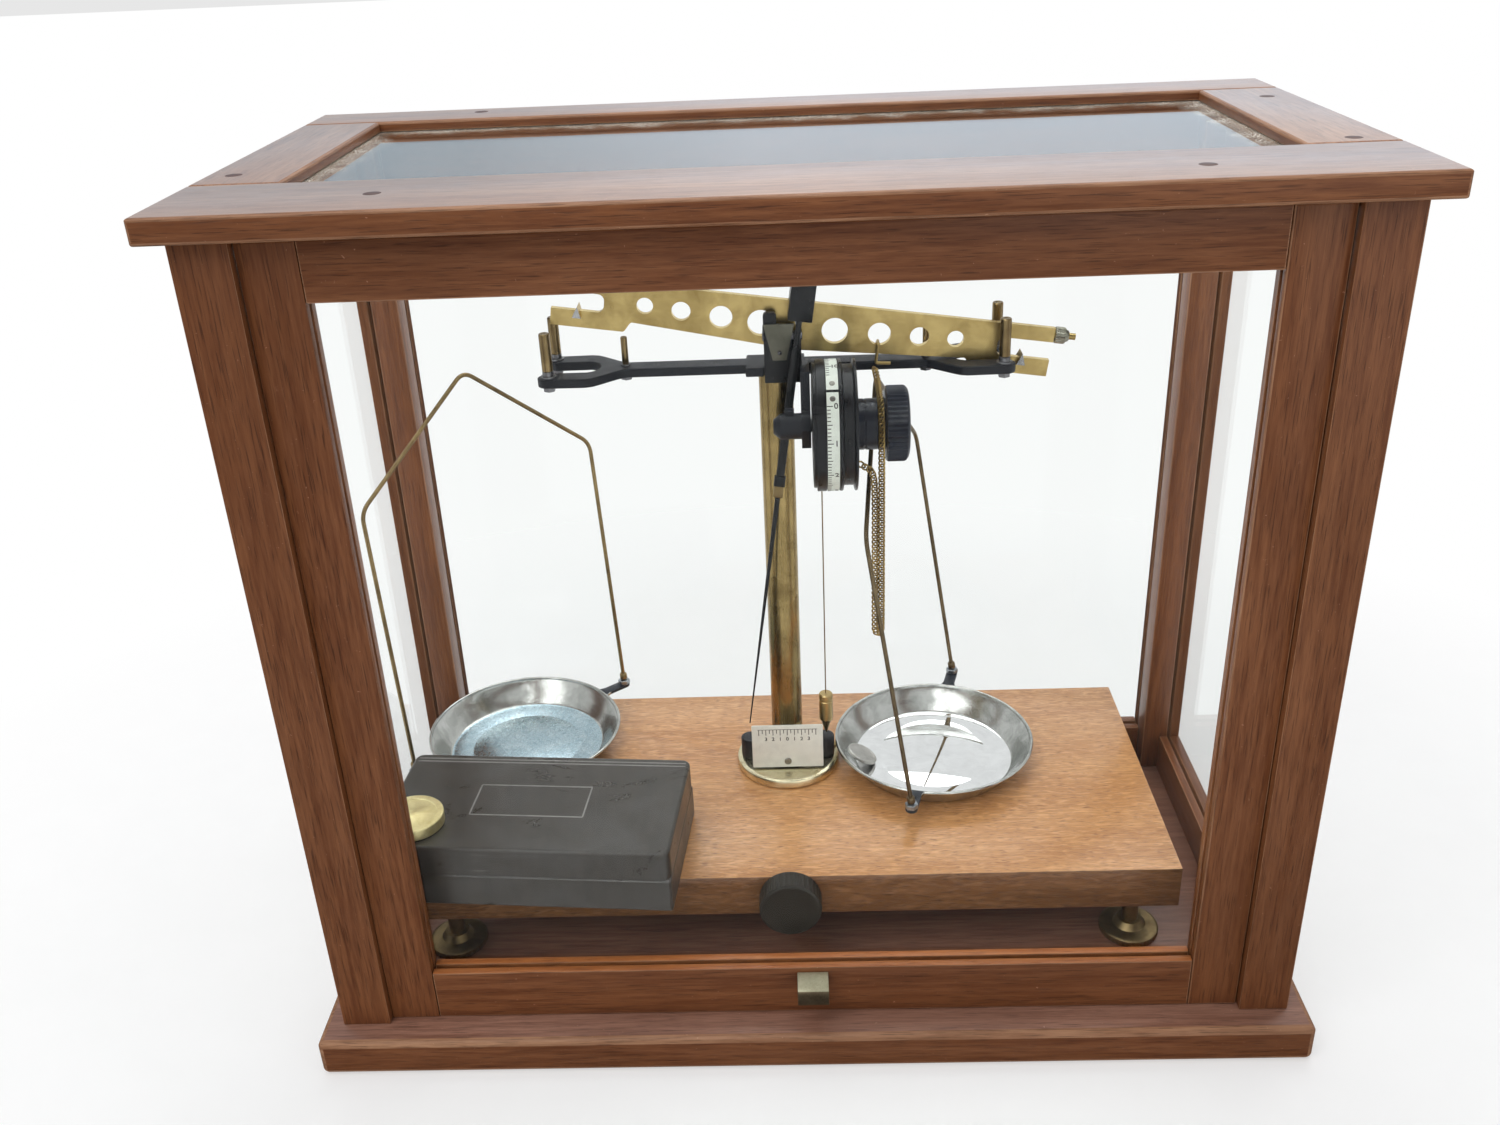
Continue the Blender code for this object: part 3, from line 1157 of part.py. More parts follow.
def knob(axis):
    """Hub and knurled knob turned in one piece with the spindle that carries the drum."""
    left = SPINDLE_SHORT - BRACKET_THICKNESS - BOSS_LENGTH
    hub = DRUM_LENGTH + SEAM
    knob_left = hub + HUB_LENGTH
    right = knob_left + KNOB_LENGTH
    core = KNOB_RADIUS - 2 * KNOB_RIDGE
    profile = [(0, left), (SPINDLE_RADIUS, left), (SPINDLE_RADIUS, hub), (HUB_RADIUS, hub),
               (HUB_RADIUS, knob_left), (core, knob_left), (core, right - KNOB_CHAMFER),
               (core - KNOB_CHAMFER, right), (core * KNOB_DOME_SHARE, right + KNOB_DOME),
               (0, right + KNOB_DOME)]
    obj = piece("drum_knob", turned(profile, 36, axis="X"), "black", axis, local=True)
    outline = []
    for index in range(KNOB_RIDGES * 2):
        radius = KNOB_RADIUS - (KNOB_RIDGE if index % 2 else 0)
        angle = TAU * index / (KNOB_RIDGES * 2)
        outline.append((radius * math.cos(angle), radius * math.sin(angle)))
    ridges = extruded(outline, "X", knob_left + KNOB_RIDGE_START,
                      KNOB_LENGTH - KNOB_RIDGE_START - KNOB_RIDGE_STOP)
    boolean(obj, cutter("knob_ridges", ridges, axis, local=True), 'UNION')
    smooth(obj)


def drum_bracket():
    """Arm that carries the drum's spindle: foot, upright web, boss, cap and index."""
    right = DRUM_LEFT - BRACKET_GAP
    left = right - BRACKET_THICKNESS
    lug_left = COLUMN_X + BLOCK_RIGHT
    lug_right = lug_left + DRUM_LUG_WIDTH
    lug_front = behind_drum(ARM_TOP)
    lug_back = COLUMN_Y - ARM_WIDTH / 2
    foot = (ARM_TOP + SEAM, ARM_TOP + SEAM + BRACKET_FOOT)
    low = DRUM_Z - BRACKET_LOW
    bend = BRACKET_BEND
    outline = [(BRACKET_FRONT + bend, low), (BRACKET_BACK - bend, low), (BRACKET_BACK, low + bend),
               (BRACKET_BACK, foot[1]), (BRACKET_BACK - BRACKET_SHELF, foot[1])]
    outline += arc((DRUM_Y, DRUM_Z), DRUM_Y - BRACKET_FRONT, 75, 180, 5)
    obj = piece("drum_bracket", extruded(outline, "X", left, BRACKET_THICKNESS), "black")
    parts = bmesh.new()
    add_block(parts, (lug_left + SEAM, right), (BRACKET_BACK - BRACKET_NECK, lug_back), foot)
    boolean(obj, cutter("bracket_neck", parts), 'UNION')
    parts = bmesh.new()
    add_block(parts, (lug_left + SEAM, lug_right), (lug_front, lug_back - SEAM), foot)
    boolean(obj, cutter("bracket_foot", parts), 'UNION')
    boss_end = BOSS_CAP + BOSS_LENGTH - BOSS_NOSE
    profile = [(0, 0), (BOSS_NOSE_RADIUS, -BOSS_NOSE), (BOSS_RADIUS, BOSS_CAP * 0.5),
               (BOSS_RADIUS, BOSS_CAP), (BOSS_RADIUS, boss_end), (0, boss_end)]
    place = (right - BOSS_LENGTH - BOSS_CAP, DRUM_Y, DRUM_Z)
    boolean(obj, cutter("bracket_boss", turned(profile, 20, axis="X", place=place)), 'UNION')
    boss_top = DRUM_Z + BOSS_RADIUS
    grub = block((right - BOSS_LENGTH - GRUB_LEFT, right - BOSS_LENGTH + GRUB_RIGHT),
                 (DRUM_Y - GRUB_SIDE / 2, DRUM_Y + GRUB_SIDE / 2),
                 (boss_top - GRUB_SINK, boss_top + GRUB_RISE))
    boolean(obj, cutter("bracket_lug", grub), 'UNION')
    bore_left = right - BRACKET_THICKNESS - BOSS_LENGTH + SPINDLE_BORE_SHORT
    bore = rod((bore_left, DRUM_Y, DRUM_Z), "X", BRACKET_THICKNESS + BOSS_LENGTH + PAST,
               SPINDLE_RADIUS + RUNNING)
    boolean(obj, cutter("spindle_bore", bore))


def scale():
    """Casting on the flange with a lobe each side, and the white scale plate on its pad."""
    z = FLANGE_TOP + SEAM
    half = LOBE_HALF_SPAN - LOBE_RADIUS
    front = CASTING_Y - LOBE_RADIUS
    clear = COLUMN_RADIUS + SEAM
    outline = arc((COLUMN_X + half, CASTING_Y), LOBE_RADIUS, -90, 90, 8)
    outline += [(COLUMN_X + clear + CASTING_LIP, CASTING_Y + LOBE_RADIUS)]
    outline += arc((COLUMN_X, COLUMN_Y), clear, 0, -180, 6)
    outline += [(COLUMN_X - clear - CASTING_LIP, CASTING_Y + LOBE_RADIUS)]
    outline += arc((COLUMN_X - half, CASTING_Y), LOBE_RADIUS, 90, 270, 8)
    pad_front = SCALE_Y + SCALE_THICKNESS + SEAM
    outline += [(COLUMN_X - PAD_WIDTH / 2, front), (COLUMN_X - PAD_WIDTH / 2, pad_front),
                (COLUMN_X + PAD_WIDTH / 2, pad_front), (COLUMN_X + PAD_WIDTH / 2, front)]
    obj = piece("scale_bracket", extruded(outline, "Z", z, CASTING_HEIGHT), "black")
    low = FLANGE_TOP + SCALE_RISE
    plate = block((COLUMN_X - SCALE_WIDTH / 2, COLUMN_X + SCALE_WIDTH / 2),
                  (SCALE_Y, SCALE_Y + SCALE_THICKNESS), (low, low + SCALE_HEIGHT))
    piece("scale_plate", plate, "ivory")


def plumb():
    top_z = ARM_LOW - SEAM
    pivot = empty("plumb_axis", (PLUMB_X, PLUMB_Y, top_z))
    tip = BOARD_TOP + PLUMB_TIP_RISE
    shoulder = tip + PLUMB_CONE
    high = shoulder + PLUMB_BODY
    profile = [(0, tip), (PLUMB_EASE_RADIUS, shoulder - PLUMB_EASE), (PLUMB_RADIUS, shoulder),
               (PLUMB_RADIUS, high - PLUMB_CHAMFER), (PLUMB_RADIUS - PLUMB_CHAMFER, high), (0, high)]
    smooth(piece("plumb_bob", turned(profile, 16, place=(PLUMB_X, PLUMB_Y, 0)), "brass", pivot))
    line = [(PLUMB_X, PLUMB_Y, top_z + (high + SEAM - top_z) * step / 4) for step in range(5)]
    wire("plumb_line", line, PLUMB_LINE_RADIUS, "old_brass", pivot, local=False)


# Pans, stirrups and weights

def pan(side, place):
    """Dished pan with two outward lugs. Its own X runs through the lugs."""
    x, y, turn = place
    holder = empty(side + "_pan_place", (x, y, BOARD_TOP + SEAM), (0, 0, turn))
    wall = PAN_WALL
    top_z = PAN_HEIGHT
    roll = PAN_RIM_ROLL
    rim = PAN_RIM_RADIUS
    flat = PAN_FLOOR_RADIUS - PAN_CORNER
    profile = [(0, 0), (flat, 0), (PAN_FLOOR_RADIUS, PAN_CORNER_RISE),
               (rim - roll - wall * (1 - PAN_SLOPE), top_z - 2 * roll),
               (rim, top_z - 2 * roll), (rim, top_z), (rim - 2 * roll, top_z),
               (PAN_FLOOR_RADIUS - wall * PAN_SLOPE, PAN_CORNER_RISE + wall), (flat, wall), (0, wall)]
    obj = piece(side + "_pan", turned(profile, 36), "nickel", holder, local=True)
    lug_z = (top_z - LUG_THICKNESS, top_z)
    lugs = bmesh.new()
    for sign in (-1, 1):
        near = rim - roll
        xs = sorted((sign * near, sign * LUG_RADIUS))
        add_block(lugs, xs, (-LUG_WIDTH / 2, LUG_WIDTH / 2), lug_z)
    boolean(obj, cutter(side + "_lugs", lugs, holder, local=True), 'UNION')
    ends = bmesh.new()
    for sign in (-1, 1):
        foot = (sign * LUG_RADIUS, 0, lug_z[0] - LUG_NUT_SINK)
        add_rod(ends, foot, "Z", LUG_NUT_SINK + LUG_THICKNESS + LUG_NUT_HEIGHT, LUG_NUT_RADIUS, 6)
    bmesh.ops.recalc_face_normals(ends, faces=ends.faces)
    boolean(obj, cutter(side + "_lug_nuts", ends, holder, local=True), 'UNION')
    smooth(obj)
    return holder


def stirrup(side, holder, lean):
    """Bent wire frame that stands in the pan's lugs, leaning about their line."""
    foot = PAN_HEIGHT + LUG_NUT_HEIGHT
    axis = empty(side + "_stirrup_axis", (0, 0, foot), (-lean, 0, 0), holder)
    corners = [(-LUG_RADIUS, 0, SWING), (-STIRRUP_SHOULDER, 0, STIRRUP_LEG), (0, 0, STIRRUP_HEIGHT),
               (STIRRUP_SHOULDER, 0, STIRRUP_LEG), (LUG_RADIUS, 0, SWING)]
    wire(side + "_stirrup", rounded_path(corners, STIRRUP_BEND, 5), STIRRUP_WIRE, "old_brass", axis)


def tray(x, y, z, wall, open_high):
    """A box with an open top or bottom."""
    bm = block(x, y, z)
    way = 1 if open_high else -1
    bm.faces.ensure_lookup_table()
    face = max(bm.faces, key=lambda item: way * item.calc_center_median().z)
    bmesh.ops.inset_region(bm, faces=[face], thickness=wall)
    grown = bmesh.ops.extrude_face_region(bm, geom=[face])
    moved = [item for item in grown["geom"] if isinstance(item, bmesh.types.BMVert)]
    bmesh.ops.delete(bm, geom=[face], context='FACES')
    bmesh.ops.translate(bm, verts=moved, vec=(0, 0, -way * (z[1] - z[0] - wall)))
    bmesh.ops.recalc_face_normals(bm, faces=bm.faces)
    return bm


def weights_box():
    holder = empty("box_place", (BOX_X, BOX_Y, BOARD_TOP + SEAM), (0, 0, BOX_TURN))
    half_x = BOX_WIDTH / 2
    half_y = BOX_DEPTH / 2
    body = tray((-half_x, half_x), (-half_y, half_y), (0, BOX_BODY_HEIGHT), BOX_WALL, True)
    obj = piece("weights_box_body", body, "case_black", holder, local=True)
    bevel(obj, BOX_ARRIS, 1, 80)
    hinge = empty("box_lid_axis", (0, half_y, BOX_BODY_HEIGHT + SEAM / 2), (0, 0, 0), holder)
    low = SEAM / 2
    lid = tray((-half_x, half_x), (-BOX_DEPTH, 0), (low, low + BOX_LID_HEIGHT), BOX_WALL, False)
    piece("weights_box_lid", lid, "case_black", hinge, local=True)
    top_z = low + BOX_LID_HEIGHT + SEAM
    disc_place = empty("disc_place", (DISC_X, DISC_Y - half_y, top_z), (0, 0, 0), hinge)
    edge = DISC_EDGE
    profile = [(0, 0), (DISC_RADIUS - edge, 0), (DISC_RADIUS, edge), (DISC_RADIUS, DISC_HEIGHT - edge),
               (DISC_RADIUS - edge, DISC_HEIGHT), (0, DISC_HEIGHT)]
    smooth(piece("brass_disc_weight", turned(profile, 24), "brass", disc_place, local=True))


def tare_weight(holder):
    """Small disc leaning against the right pan's wall."""
    x, y, turn = RIGHT_PAN
    bearing = TARE_BEARING - turn
    half = TARE_THICKNESS / 2
    foot = PAN_WALL + SEAM + TARE_RADIUS * math.sin(TARE_TILT) + half * math.cos(TARE_TILT)
    place = (TARE_PLACE * math.cos(bearing), TARE_PLACE * math.sin(bearing), foot)
    seat = empty("tare_place", place, (0, -TARE_TILT, bearing), holder)
    profile = [(0, -half), (TARE_RADIUS, -half), (TARE_RADIUS, half), (0, half)]
    smooth(piece("tare_disc", turned(profile, 24), "nickel", seat, local=True))


def build():
    clear_scene()
    plinth()
    posts()
    rails()
    wall_panes()
    top()
    sash()
    base_board()
    levelling_feet()
    arrest()
    column()
    lift = empty("lift_axis", (COLUMN_X, COLUMN_Y, COLUMN_LOW))
    lift_rod(lift)
    yoke(lift)
    arm()
    beam(lift)
    chain(lift)
    drum()
    drum_bracket()
    scale()
    plumb()
    stirrup("left", pan("left", LEFT_PAN), LEFT_LEAN)
    right = pan("right", RIGHT_PAN)
    stirrup("right", right, RIGHT_LEAN)
    tare_weight(right)
    weights_box()


build()
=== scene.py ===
import json
import math

import bpy
from mathutils import Matrix, Vector

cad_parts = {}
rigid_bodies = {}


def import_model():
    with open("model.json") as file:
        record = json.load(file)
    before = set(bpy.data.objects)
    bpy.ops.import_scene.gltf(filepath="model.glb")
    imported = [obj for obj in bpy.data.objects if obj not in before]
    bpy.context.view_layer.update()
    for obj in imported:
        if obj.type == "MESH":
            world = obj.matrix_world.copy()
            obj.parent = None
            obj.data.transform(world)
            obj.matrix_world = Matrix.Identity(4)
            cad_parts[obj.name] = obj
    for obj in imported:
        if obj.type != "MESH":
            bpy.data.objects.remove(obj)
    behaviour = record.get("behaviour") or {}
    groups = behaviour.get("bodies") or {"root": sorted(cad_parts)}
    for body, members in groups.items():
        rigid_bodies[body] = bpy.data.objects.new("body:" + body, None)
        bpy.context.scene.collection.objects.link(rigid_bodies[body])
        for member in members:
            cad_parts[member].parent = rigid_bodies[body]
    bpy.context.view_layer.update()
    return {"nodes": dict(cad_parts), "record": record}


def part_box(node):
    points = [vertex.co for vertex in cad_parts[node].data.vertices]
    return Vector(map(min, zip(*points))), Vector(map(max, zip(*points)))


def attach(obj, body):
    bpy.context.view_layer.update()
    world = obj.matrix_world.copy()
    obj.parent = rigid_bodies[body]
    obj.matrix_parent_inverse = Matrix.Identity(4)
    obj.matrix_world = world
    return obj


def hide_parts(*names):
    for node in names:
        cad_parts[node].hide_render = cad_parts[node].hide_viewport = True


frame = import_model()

# Places shared with the solids, in metres
COLUMN_X = -0.0080
COLUMN_Y = 0.0290
COLUMN_LOW = 0.0776
SEAT = 0.0723             # what stands on the base board starts here
ARM_LOW = 0.2966
ARM_TOP = 0.3010
BOARD_FRONT = -0.0705
BEAM_AXES = Matrix.Translation((0.0030, 0.0255, 0.3180)) @ Matrix.Rotation(math.radians(8.2), 4, 'Y')
DRUM_LEFT = 0.0086
DRUM_Y = -0.0060
DRUM_Z = 0.2807
DRUM_RADIUS = 0.0303
LEFT_PAN = (-0.1557, 0.0476, math.radians(40), math.radians(4.7))
RIGHT_PAN = (0.0713, 0.0290, math.radians(75), math.radians(9.1))
BOX_AXES = Matrix.Translation((-0.1320, -0.0510, SEAT)) @ Matrix.Rotation(math.radians(-4.4), 4, 'Z')
PLATE_LEFT = -0.02695
PLATE_RIGHT = 0.01095
PLATE_LOW = 0.0783
PLATE_HIGH = 0.1046
PLATE_FRONT = 0.0128
TOP_HIGH = 0.4090
BOX_TOP = 0.1060
LUG_REACH = 0.0674        # from a pan's middle to the foot of its stirrup
LUG_LOW = 0.0122          # above the pan's underside
LUG_THICKNESS = 0.0016
INK_RISE = 0.00008

# Stops of the arrest arm: way from the column along X and Y, radius and rise
STOPS = ((0.1069, -0.0134, 0.0026, 0.0212), (0.1069, 0.0134, 0.0026, 0.0212),
         (0.0717, 0.0010, 0.0016, 0.0140))

# Holes of the beam in its own axes: X, Z and radius
BEAM_HOLES = ((0.0175, 0.0008, 0.0062), (0.0385, 0.0015, 0.0054), (0.0573, 0.0023, 0.0045),
              (0.0743, 0.0030, 0.0039), (-0.0175, 0.0008, 0.0062), (-0.0362, 0.0015, 0.0054),
              (-0.0550, 0.0023, 0.0045), (-0.0720, 0.0030, 0.0039))

# Lamps: place, aim, side of the square and power
LAMPS = {
    "key": ((-0.65, -0.95, 1.6), (0, 0, 0.2), 1.2, 12.0),
    "overhead": ((0.15, 0.55, 1.85), (0, 0, 0.1), 1.7, 19.0),
    "fill": ((0.8, -1.3, 0.5), (0, 0, 0.1), 1.0, 2.0),
}

LAY = {
    "X": Matrix(((0, 0, 1, 0), (1, 0, 0, 0), (0, 1, 0, 0), (0, 0, 0, 1))),
    "Y": Matrix(((0, 1, 0, 0), (0, 0, 1, 0), (1, 0, 0, 0), (0, 0, 0, 1))),
    "Z": Matrix.Identity(4),
}


# Bench work

def let_go():
    """Leave edit mode and drop the selection."""
    if bpy.context.object and bpy.context.object.mode != 'OBJECT':
        bpy.ops.object.mode_set(mode='OBJECT')
    bpy.ops.object.select_all(action='DESELECT')


def take(*pieces):
    """Select these pieces alone; the first is the active one."""
    let_go()
    for piece in pieces:
        piece.select_set(True)
    bpy.context.view_layer.objects.active = pieces[0]


def called(name):
    """Name the piece that is active."""
    piece = bpy.context.object
    piece.name = name
    piece.data.name = name
    return piece


def pick(piece, kind, test):
    """Select vertices, edges or faces by place, and stay in edit mode."""
    take(piece)
    bpy.ops.object.mode_set(mode='EDIT')
    bpy.ops.mesh.select_mode(type=kind)
    bpy.ops.mesh.select_all(action='DESELECT')
    bpy.ops.object.mode_set(mode='OBJECT')
    mesh = piece.data
    if kind == 'VERT':
        for vertex in mesh.vertices:
            vertex.select = bool(test(vertex.co))
    elif kind == 'EDGE':
        for edge in mesh.edges:
            ends = [mesh.vertices[index].co for index in edge.vertices]
            edge.select = bool(test(*ends))
    else:
        for face in mesh.polygons:
            face.select = bool(test(face.center, face.normal))
    bpy.ops.object.mode_set(mode='EDIT')


def put(piece, matrix):
    """Set a piece down at its place, and leave the place in its mesh."""
    take(piece)
    piece.matrix_world = matrix
    bpy.ops.object.transform_apply(location=True, rotation=True, scale=True)
    return piece


def lay(piece, axis, place):
    """Lay a piece that was made along Z onto another axis."""
    return put(piece, Matrix.Translation(place) @ LAY[axis])


def ease(piece, width, segments=2, angle=30):
    """Round the sharp edges a little."""
    take(piece)
    bevel = piece.modifiers.new("ease", 'BEVEL')
    bevel.width = width
    bevel.segments = segments
    bevel.limit_method = 'ANGLE'
    bevel.angle_limit = math.radians(angle)
    bpy.ops.object.modifier_apply(modifier=bevel.name)
    return piece


def smooth(piece, angle=32):
    """Shade smooth, but for edges sharper than the angle."""
    take(piece)
    bpy.ops.object.shade_smooth_by_angle(angle=math.radians(angle))
    return piece


def joined(name, pieces):
    """One piece from several."""
    take(*pieces)
    bpy.ops.object.join()
    return called(name)


def twin(piece, name):
    """A copy with its own mesh."""
    take(piece)
    bpy.ops.object.duplicate()
    return called(name)


def block(size, place=(0, 0, 0)):
    """A plain box to work on, its size and place in its mesh."""
    let_go()
    bpy.ops.mesh.primitive_cube_add(size=1, location=place, scale=size)
    bpy.ops.object.transform_apply(location=True, rotation=True, scale=True)
    return bpy.context.object


def turned(name, profile, sides=64):
    """Turn a profile of (radius, height) points about Z."""
    let_go()
    bpy.ops.mesh.primitive_plane_add(size=0.001, location=(0, 0, 0))
    piece = called(name)
    bpy.ops.object.mode_set(mode='EDIT')
    bpy.ops.mesh.select_mode(type='VERT')
    bpy.ops.mesh.select_all(action='SELECT')
    bpy.ops.mesh.merge(type='CENTER')
    bpy.ops.transform.translate(value=(profile[0][0], 0, profile[0][1]))
    for (r0, z0), (r1, z1) in zip(profile, profile[1:]):
        bpy.ops.mesh.extrude_vertices_move(TRANSFORM_OT_translate={"value": (r1 - r0, 0, z1 - z0)})
    bpy.ops.mesh.select_all(action='SELECT')
    bpy.ops.mesh.spin(steps=sides, angle=math.tau, center=(0, 0, 0), axis=(0, 0, 1))
    bpy.ops.mesh.select_all(action='SELECT')
    bpy.ops.mesh.remove_doubles(threshold=0.000004)
    bpy.ops.mesh.normals_make_consistent(inside=False)
    bpy.ops.object.mode_set(mode='OBJECT')
    return piece


def knurl(piece, low, high, radius, depth, sides):
    """Press every other line of a turned rim inwards."""
    step = math.tau / sides

    def in_groove(co):
        line = round(math.atan2(co.y, co.x) / step)
        return line % 2 and low < co.z < high and abs(math.hypot(co.x, co.y) - radius) < depth * 0.3

    pick(piece, 'VERT', in_groove)
    share = (radius - depth) / radius
    bpy.ops.transform.resize(value=(share, share, 1), center_override=(0, 0, 0))
    bpy.ops.object.mode_set(mode='OBJECT')
    return piece


def plate(name, outline, thickness):
    """A flat piece cut to an outline in XY and thickened upwards."""
    let_go()
    bpy.ops.mesh.primitive_plane_add(size=0.001, location=(0, 0, 0))
    piece = called(name)
    bpy.ops.object.mode_set(mode='EDIT')
    bpy.ops.mesh.select_mode(type='VERT')
    bpy.ops.mesh.select_all(action='SELECT')
    bpy.ops.mesh.merge(type='CENTER')
    bpy.ops.transform.translate(value=(*outline[0], 0))
    for (x0, y0), (x1, y1) in zip(outline, outline[1:]):
        bpy.ops.mesh.extrude_vertices_move(TRANSFORM_OT_translate={"value": (x1 - x0, y1 - y0, 0)})
    bpy.ops.mesh.select_all(action='SELECT')
    bpy.ops.mesh.edge_face_add()
    bpy.ops.mesh.extrude_region_move(TRANSFORM_OT_translate={"value": (0, 0, thickness)})
    bpy.ops.mesh.select_all(action='SELECT')
    bpy.ops.mesh.remove_doubles(threshold=0.000002)
    bpy.ops.mesh.normals_make_consistent(inside=False)
    bpy.ops.object.mode_set(mode='OBJECT')
    return piece


def hex_nut(name, radius, height, bore):
    """Six-sided nut with turned-down corners."""
    let_go()
    bpy.ops.mesh.primitive_cylinder_add(vertices=6, radius=radius, depth=height,
                                        location=(0, 0, height / 2))
    nut = called(name)
    bpy.ops.object.transform_apply(location=True, rotation=True, scale=True)
    top = height * 0.999
    pick(nut, 'FACE', lambda centre, normal: abs(normal.z) > 0.9)
    bpy.ops.mesh.inset(thickness=radius * 0.14, depth=0)
    bpy.ops.object.mode_set(mode='OBJECT')
    pick(nut, 'VERT', lambda co: math.hypot(co.x, co.y) > radius * 0.95)
    bpy.ops.transform.resize(value=(1, 1, 0.82), center_override=(0, 0, height / 2))
    bpy.ops.object.mode_set(mode='OBJECT')
    pick(nut, 'FACE', lambda centre, normal: centre.z > top - height * 0.02)
    bpy.ops.mesh.inset(thickness=(radius * 0.86 - bore) * 0.8, depth=0)
    bpy.ops.mesh.extrude_region_move(TRANSFORM_OT_translate={"value": (0, 0, -height * 0.2)})
    bpy.ops.object.mode_set(mode='OBJECT')
    return nut


def drawn(name, points, radius, sides=3):
    """Round wire along a path, with its ends closed."""
    let_go()
    bpy.ops.curve.primitive_nurbs_path_add(location=(0, 0, 0))
    curve = bpy.context.object
    curve.data.splines.clear()
    spline = curve.data.splines.new('POLY')
    spline.points.add(len(points) - 1)
    for target, point in zip(spline.points, points):
        target.co = (*point, 1.0)
    curve.data.bevel_depth = radius
    curve.data.bevel_resolution = sides
    curve.data.use_fill_caps = True
    curve.data.twist_mode = 'MINIMUM'
    bpy.ops.object.convert(target='MESH')
    wire = called(name)
    bpy.ops.object.mode_set(mode='EDIT')
    bpy.ops.mesh.select_all(action='SELECT')
    bpy.ops.mesh.remove_doubles(threshold=0.000002)
    bpy.ops.mesh.normals_make_consistent(inside=False)
    bpy.ops.object.mode_set(mode='OBJECT')
    return wire


def bent(corners, radius, steps=8):
    """Path through corners, each rounded off."""
    corners = [Vector(corner) for corner in corners]
    points = [corners[0]]
    for before, corner, after in zip(corners, corners[1:], corners[2:]):
        start = corner + (before - corner).normalized() * radius
        end = corner + (after - corner).normalized() * radius
        for step in range(steps + 1):
            t = step / steps
            points.append(start * (1 - t) ** 2 + corner * 2 * t * (1 - t) + end * t ** 2)
    points.append(corners[-1])
    return points


def arc(centre, radius, start, end, steps):
    """Points on an arc, with angles in degrees."""
    points = []
    for step in range(steps + 1):
        angle = math.radians(start + (end - start) * step / steps)
        points.append((centre[0] + radius * math.cos(angle), centre[1] + radius * math.sin(angle)))
    return points


def from_solid(node, name, edge=0.0, segments=2, angle=30):
    """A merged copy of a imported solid, its edges eased."""
    take(frame["nodes"][node])
    bpy.ops.object.duplicate()
    bpy.ops.object.parent_clear(type='CLEAR_KEEP_TRANSFORM')
    piece = called(name)
    for key in [key for key in piece.keys() if key.startswith("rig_")]:
        del piece[key]
    if piece.data.has_custom_normals:
        bpy.ops.mesh.customdata_custom_splitnormals_clear()
    bpy.ops.object.mode_set(mode='EDIT')
    bpy.ops.mesh.select_all(action='SELECT')
    bpy.ops.mesh.mark_sharp(clear=True)
    bpy.ops.mesh.remove_doubles(threshold=0.000001)
    bpy.ops.mesh.dissolve_limited(angle_limit=math.radians(0.5))
    bpy.ops.object.mode_set(mode='OBJECT')
    if edge:
        ease(piece, edge, segments, angle)
    return smooth(piece)


RIDES = {node: body for body, group in frame["record"]["behaviour"]["bodies"].items() for node in group}


def fit(piece, node, finishes, replaces=True):
    """Finish a piece and set it on the body of the solid that it belongs to."""
    piece.data.materials.clear()
    for finish in finishes if isinstance(finishes, (list, tuple)) else [finishes]:
        piece.data.materials.append(finish)
    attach(piece, RIDES[node])
    if replaces:
        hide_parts(node)
    return piece


def paint(piece, index, test):
    """Give some faces another of the piece's finishes."""
    for face in piece.data.polygons:
        if test(face.center, face.normal):
            face.material_index = index


def dress(node, finish):
    """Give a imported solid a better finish."""
    for slot in frame["nodes"][node].material_slots:
        slot.material = finish


# Finishes

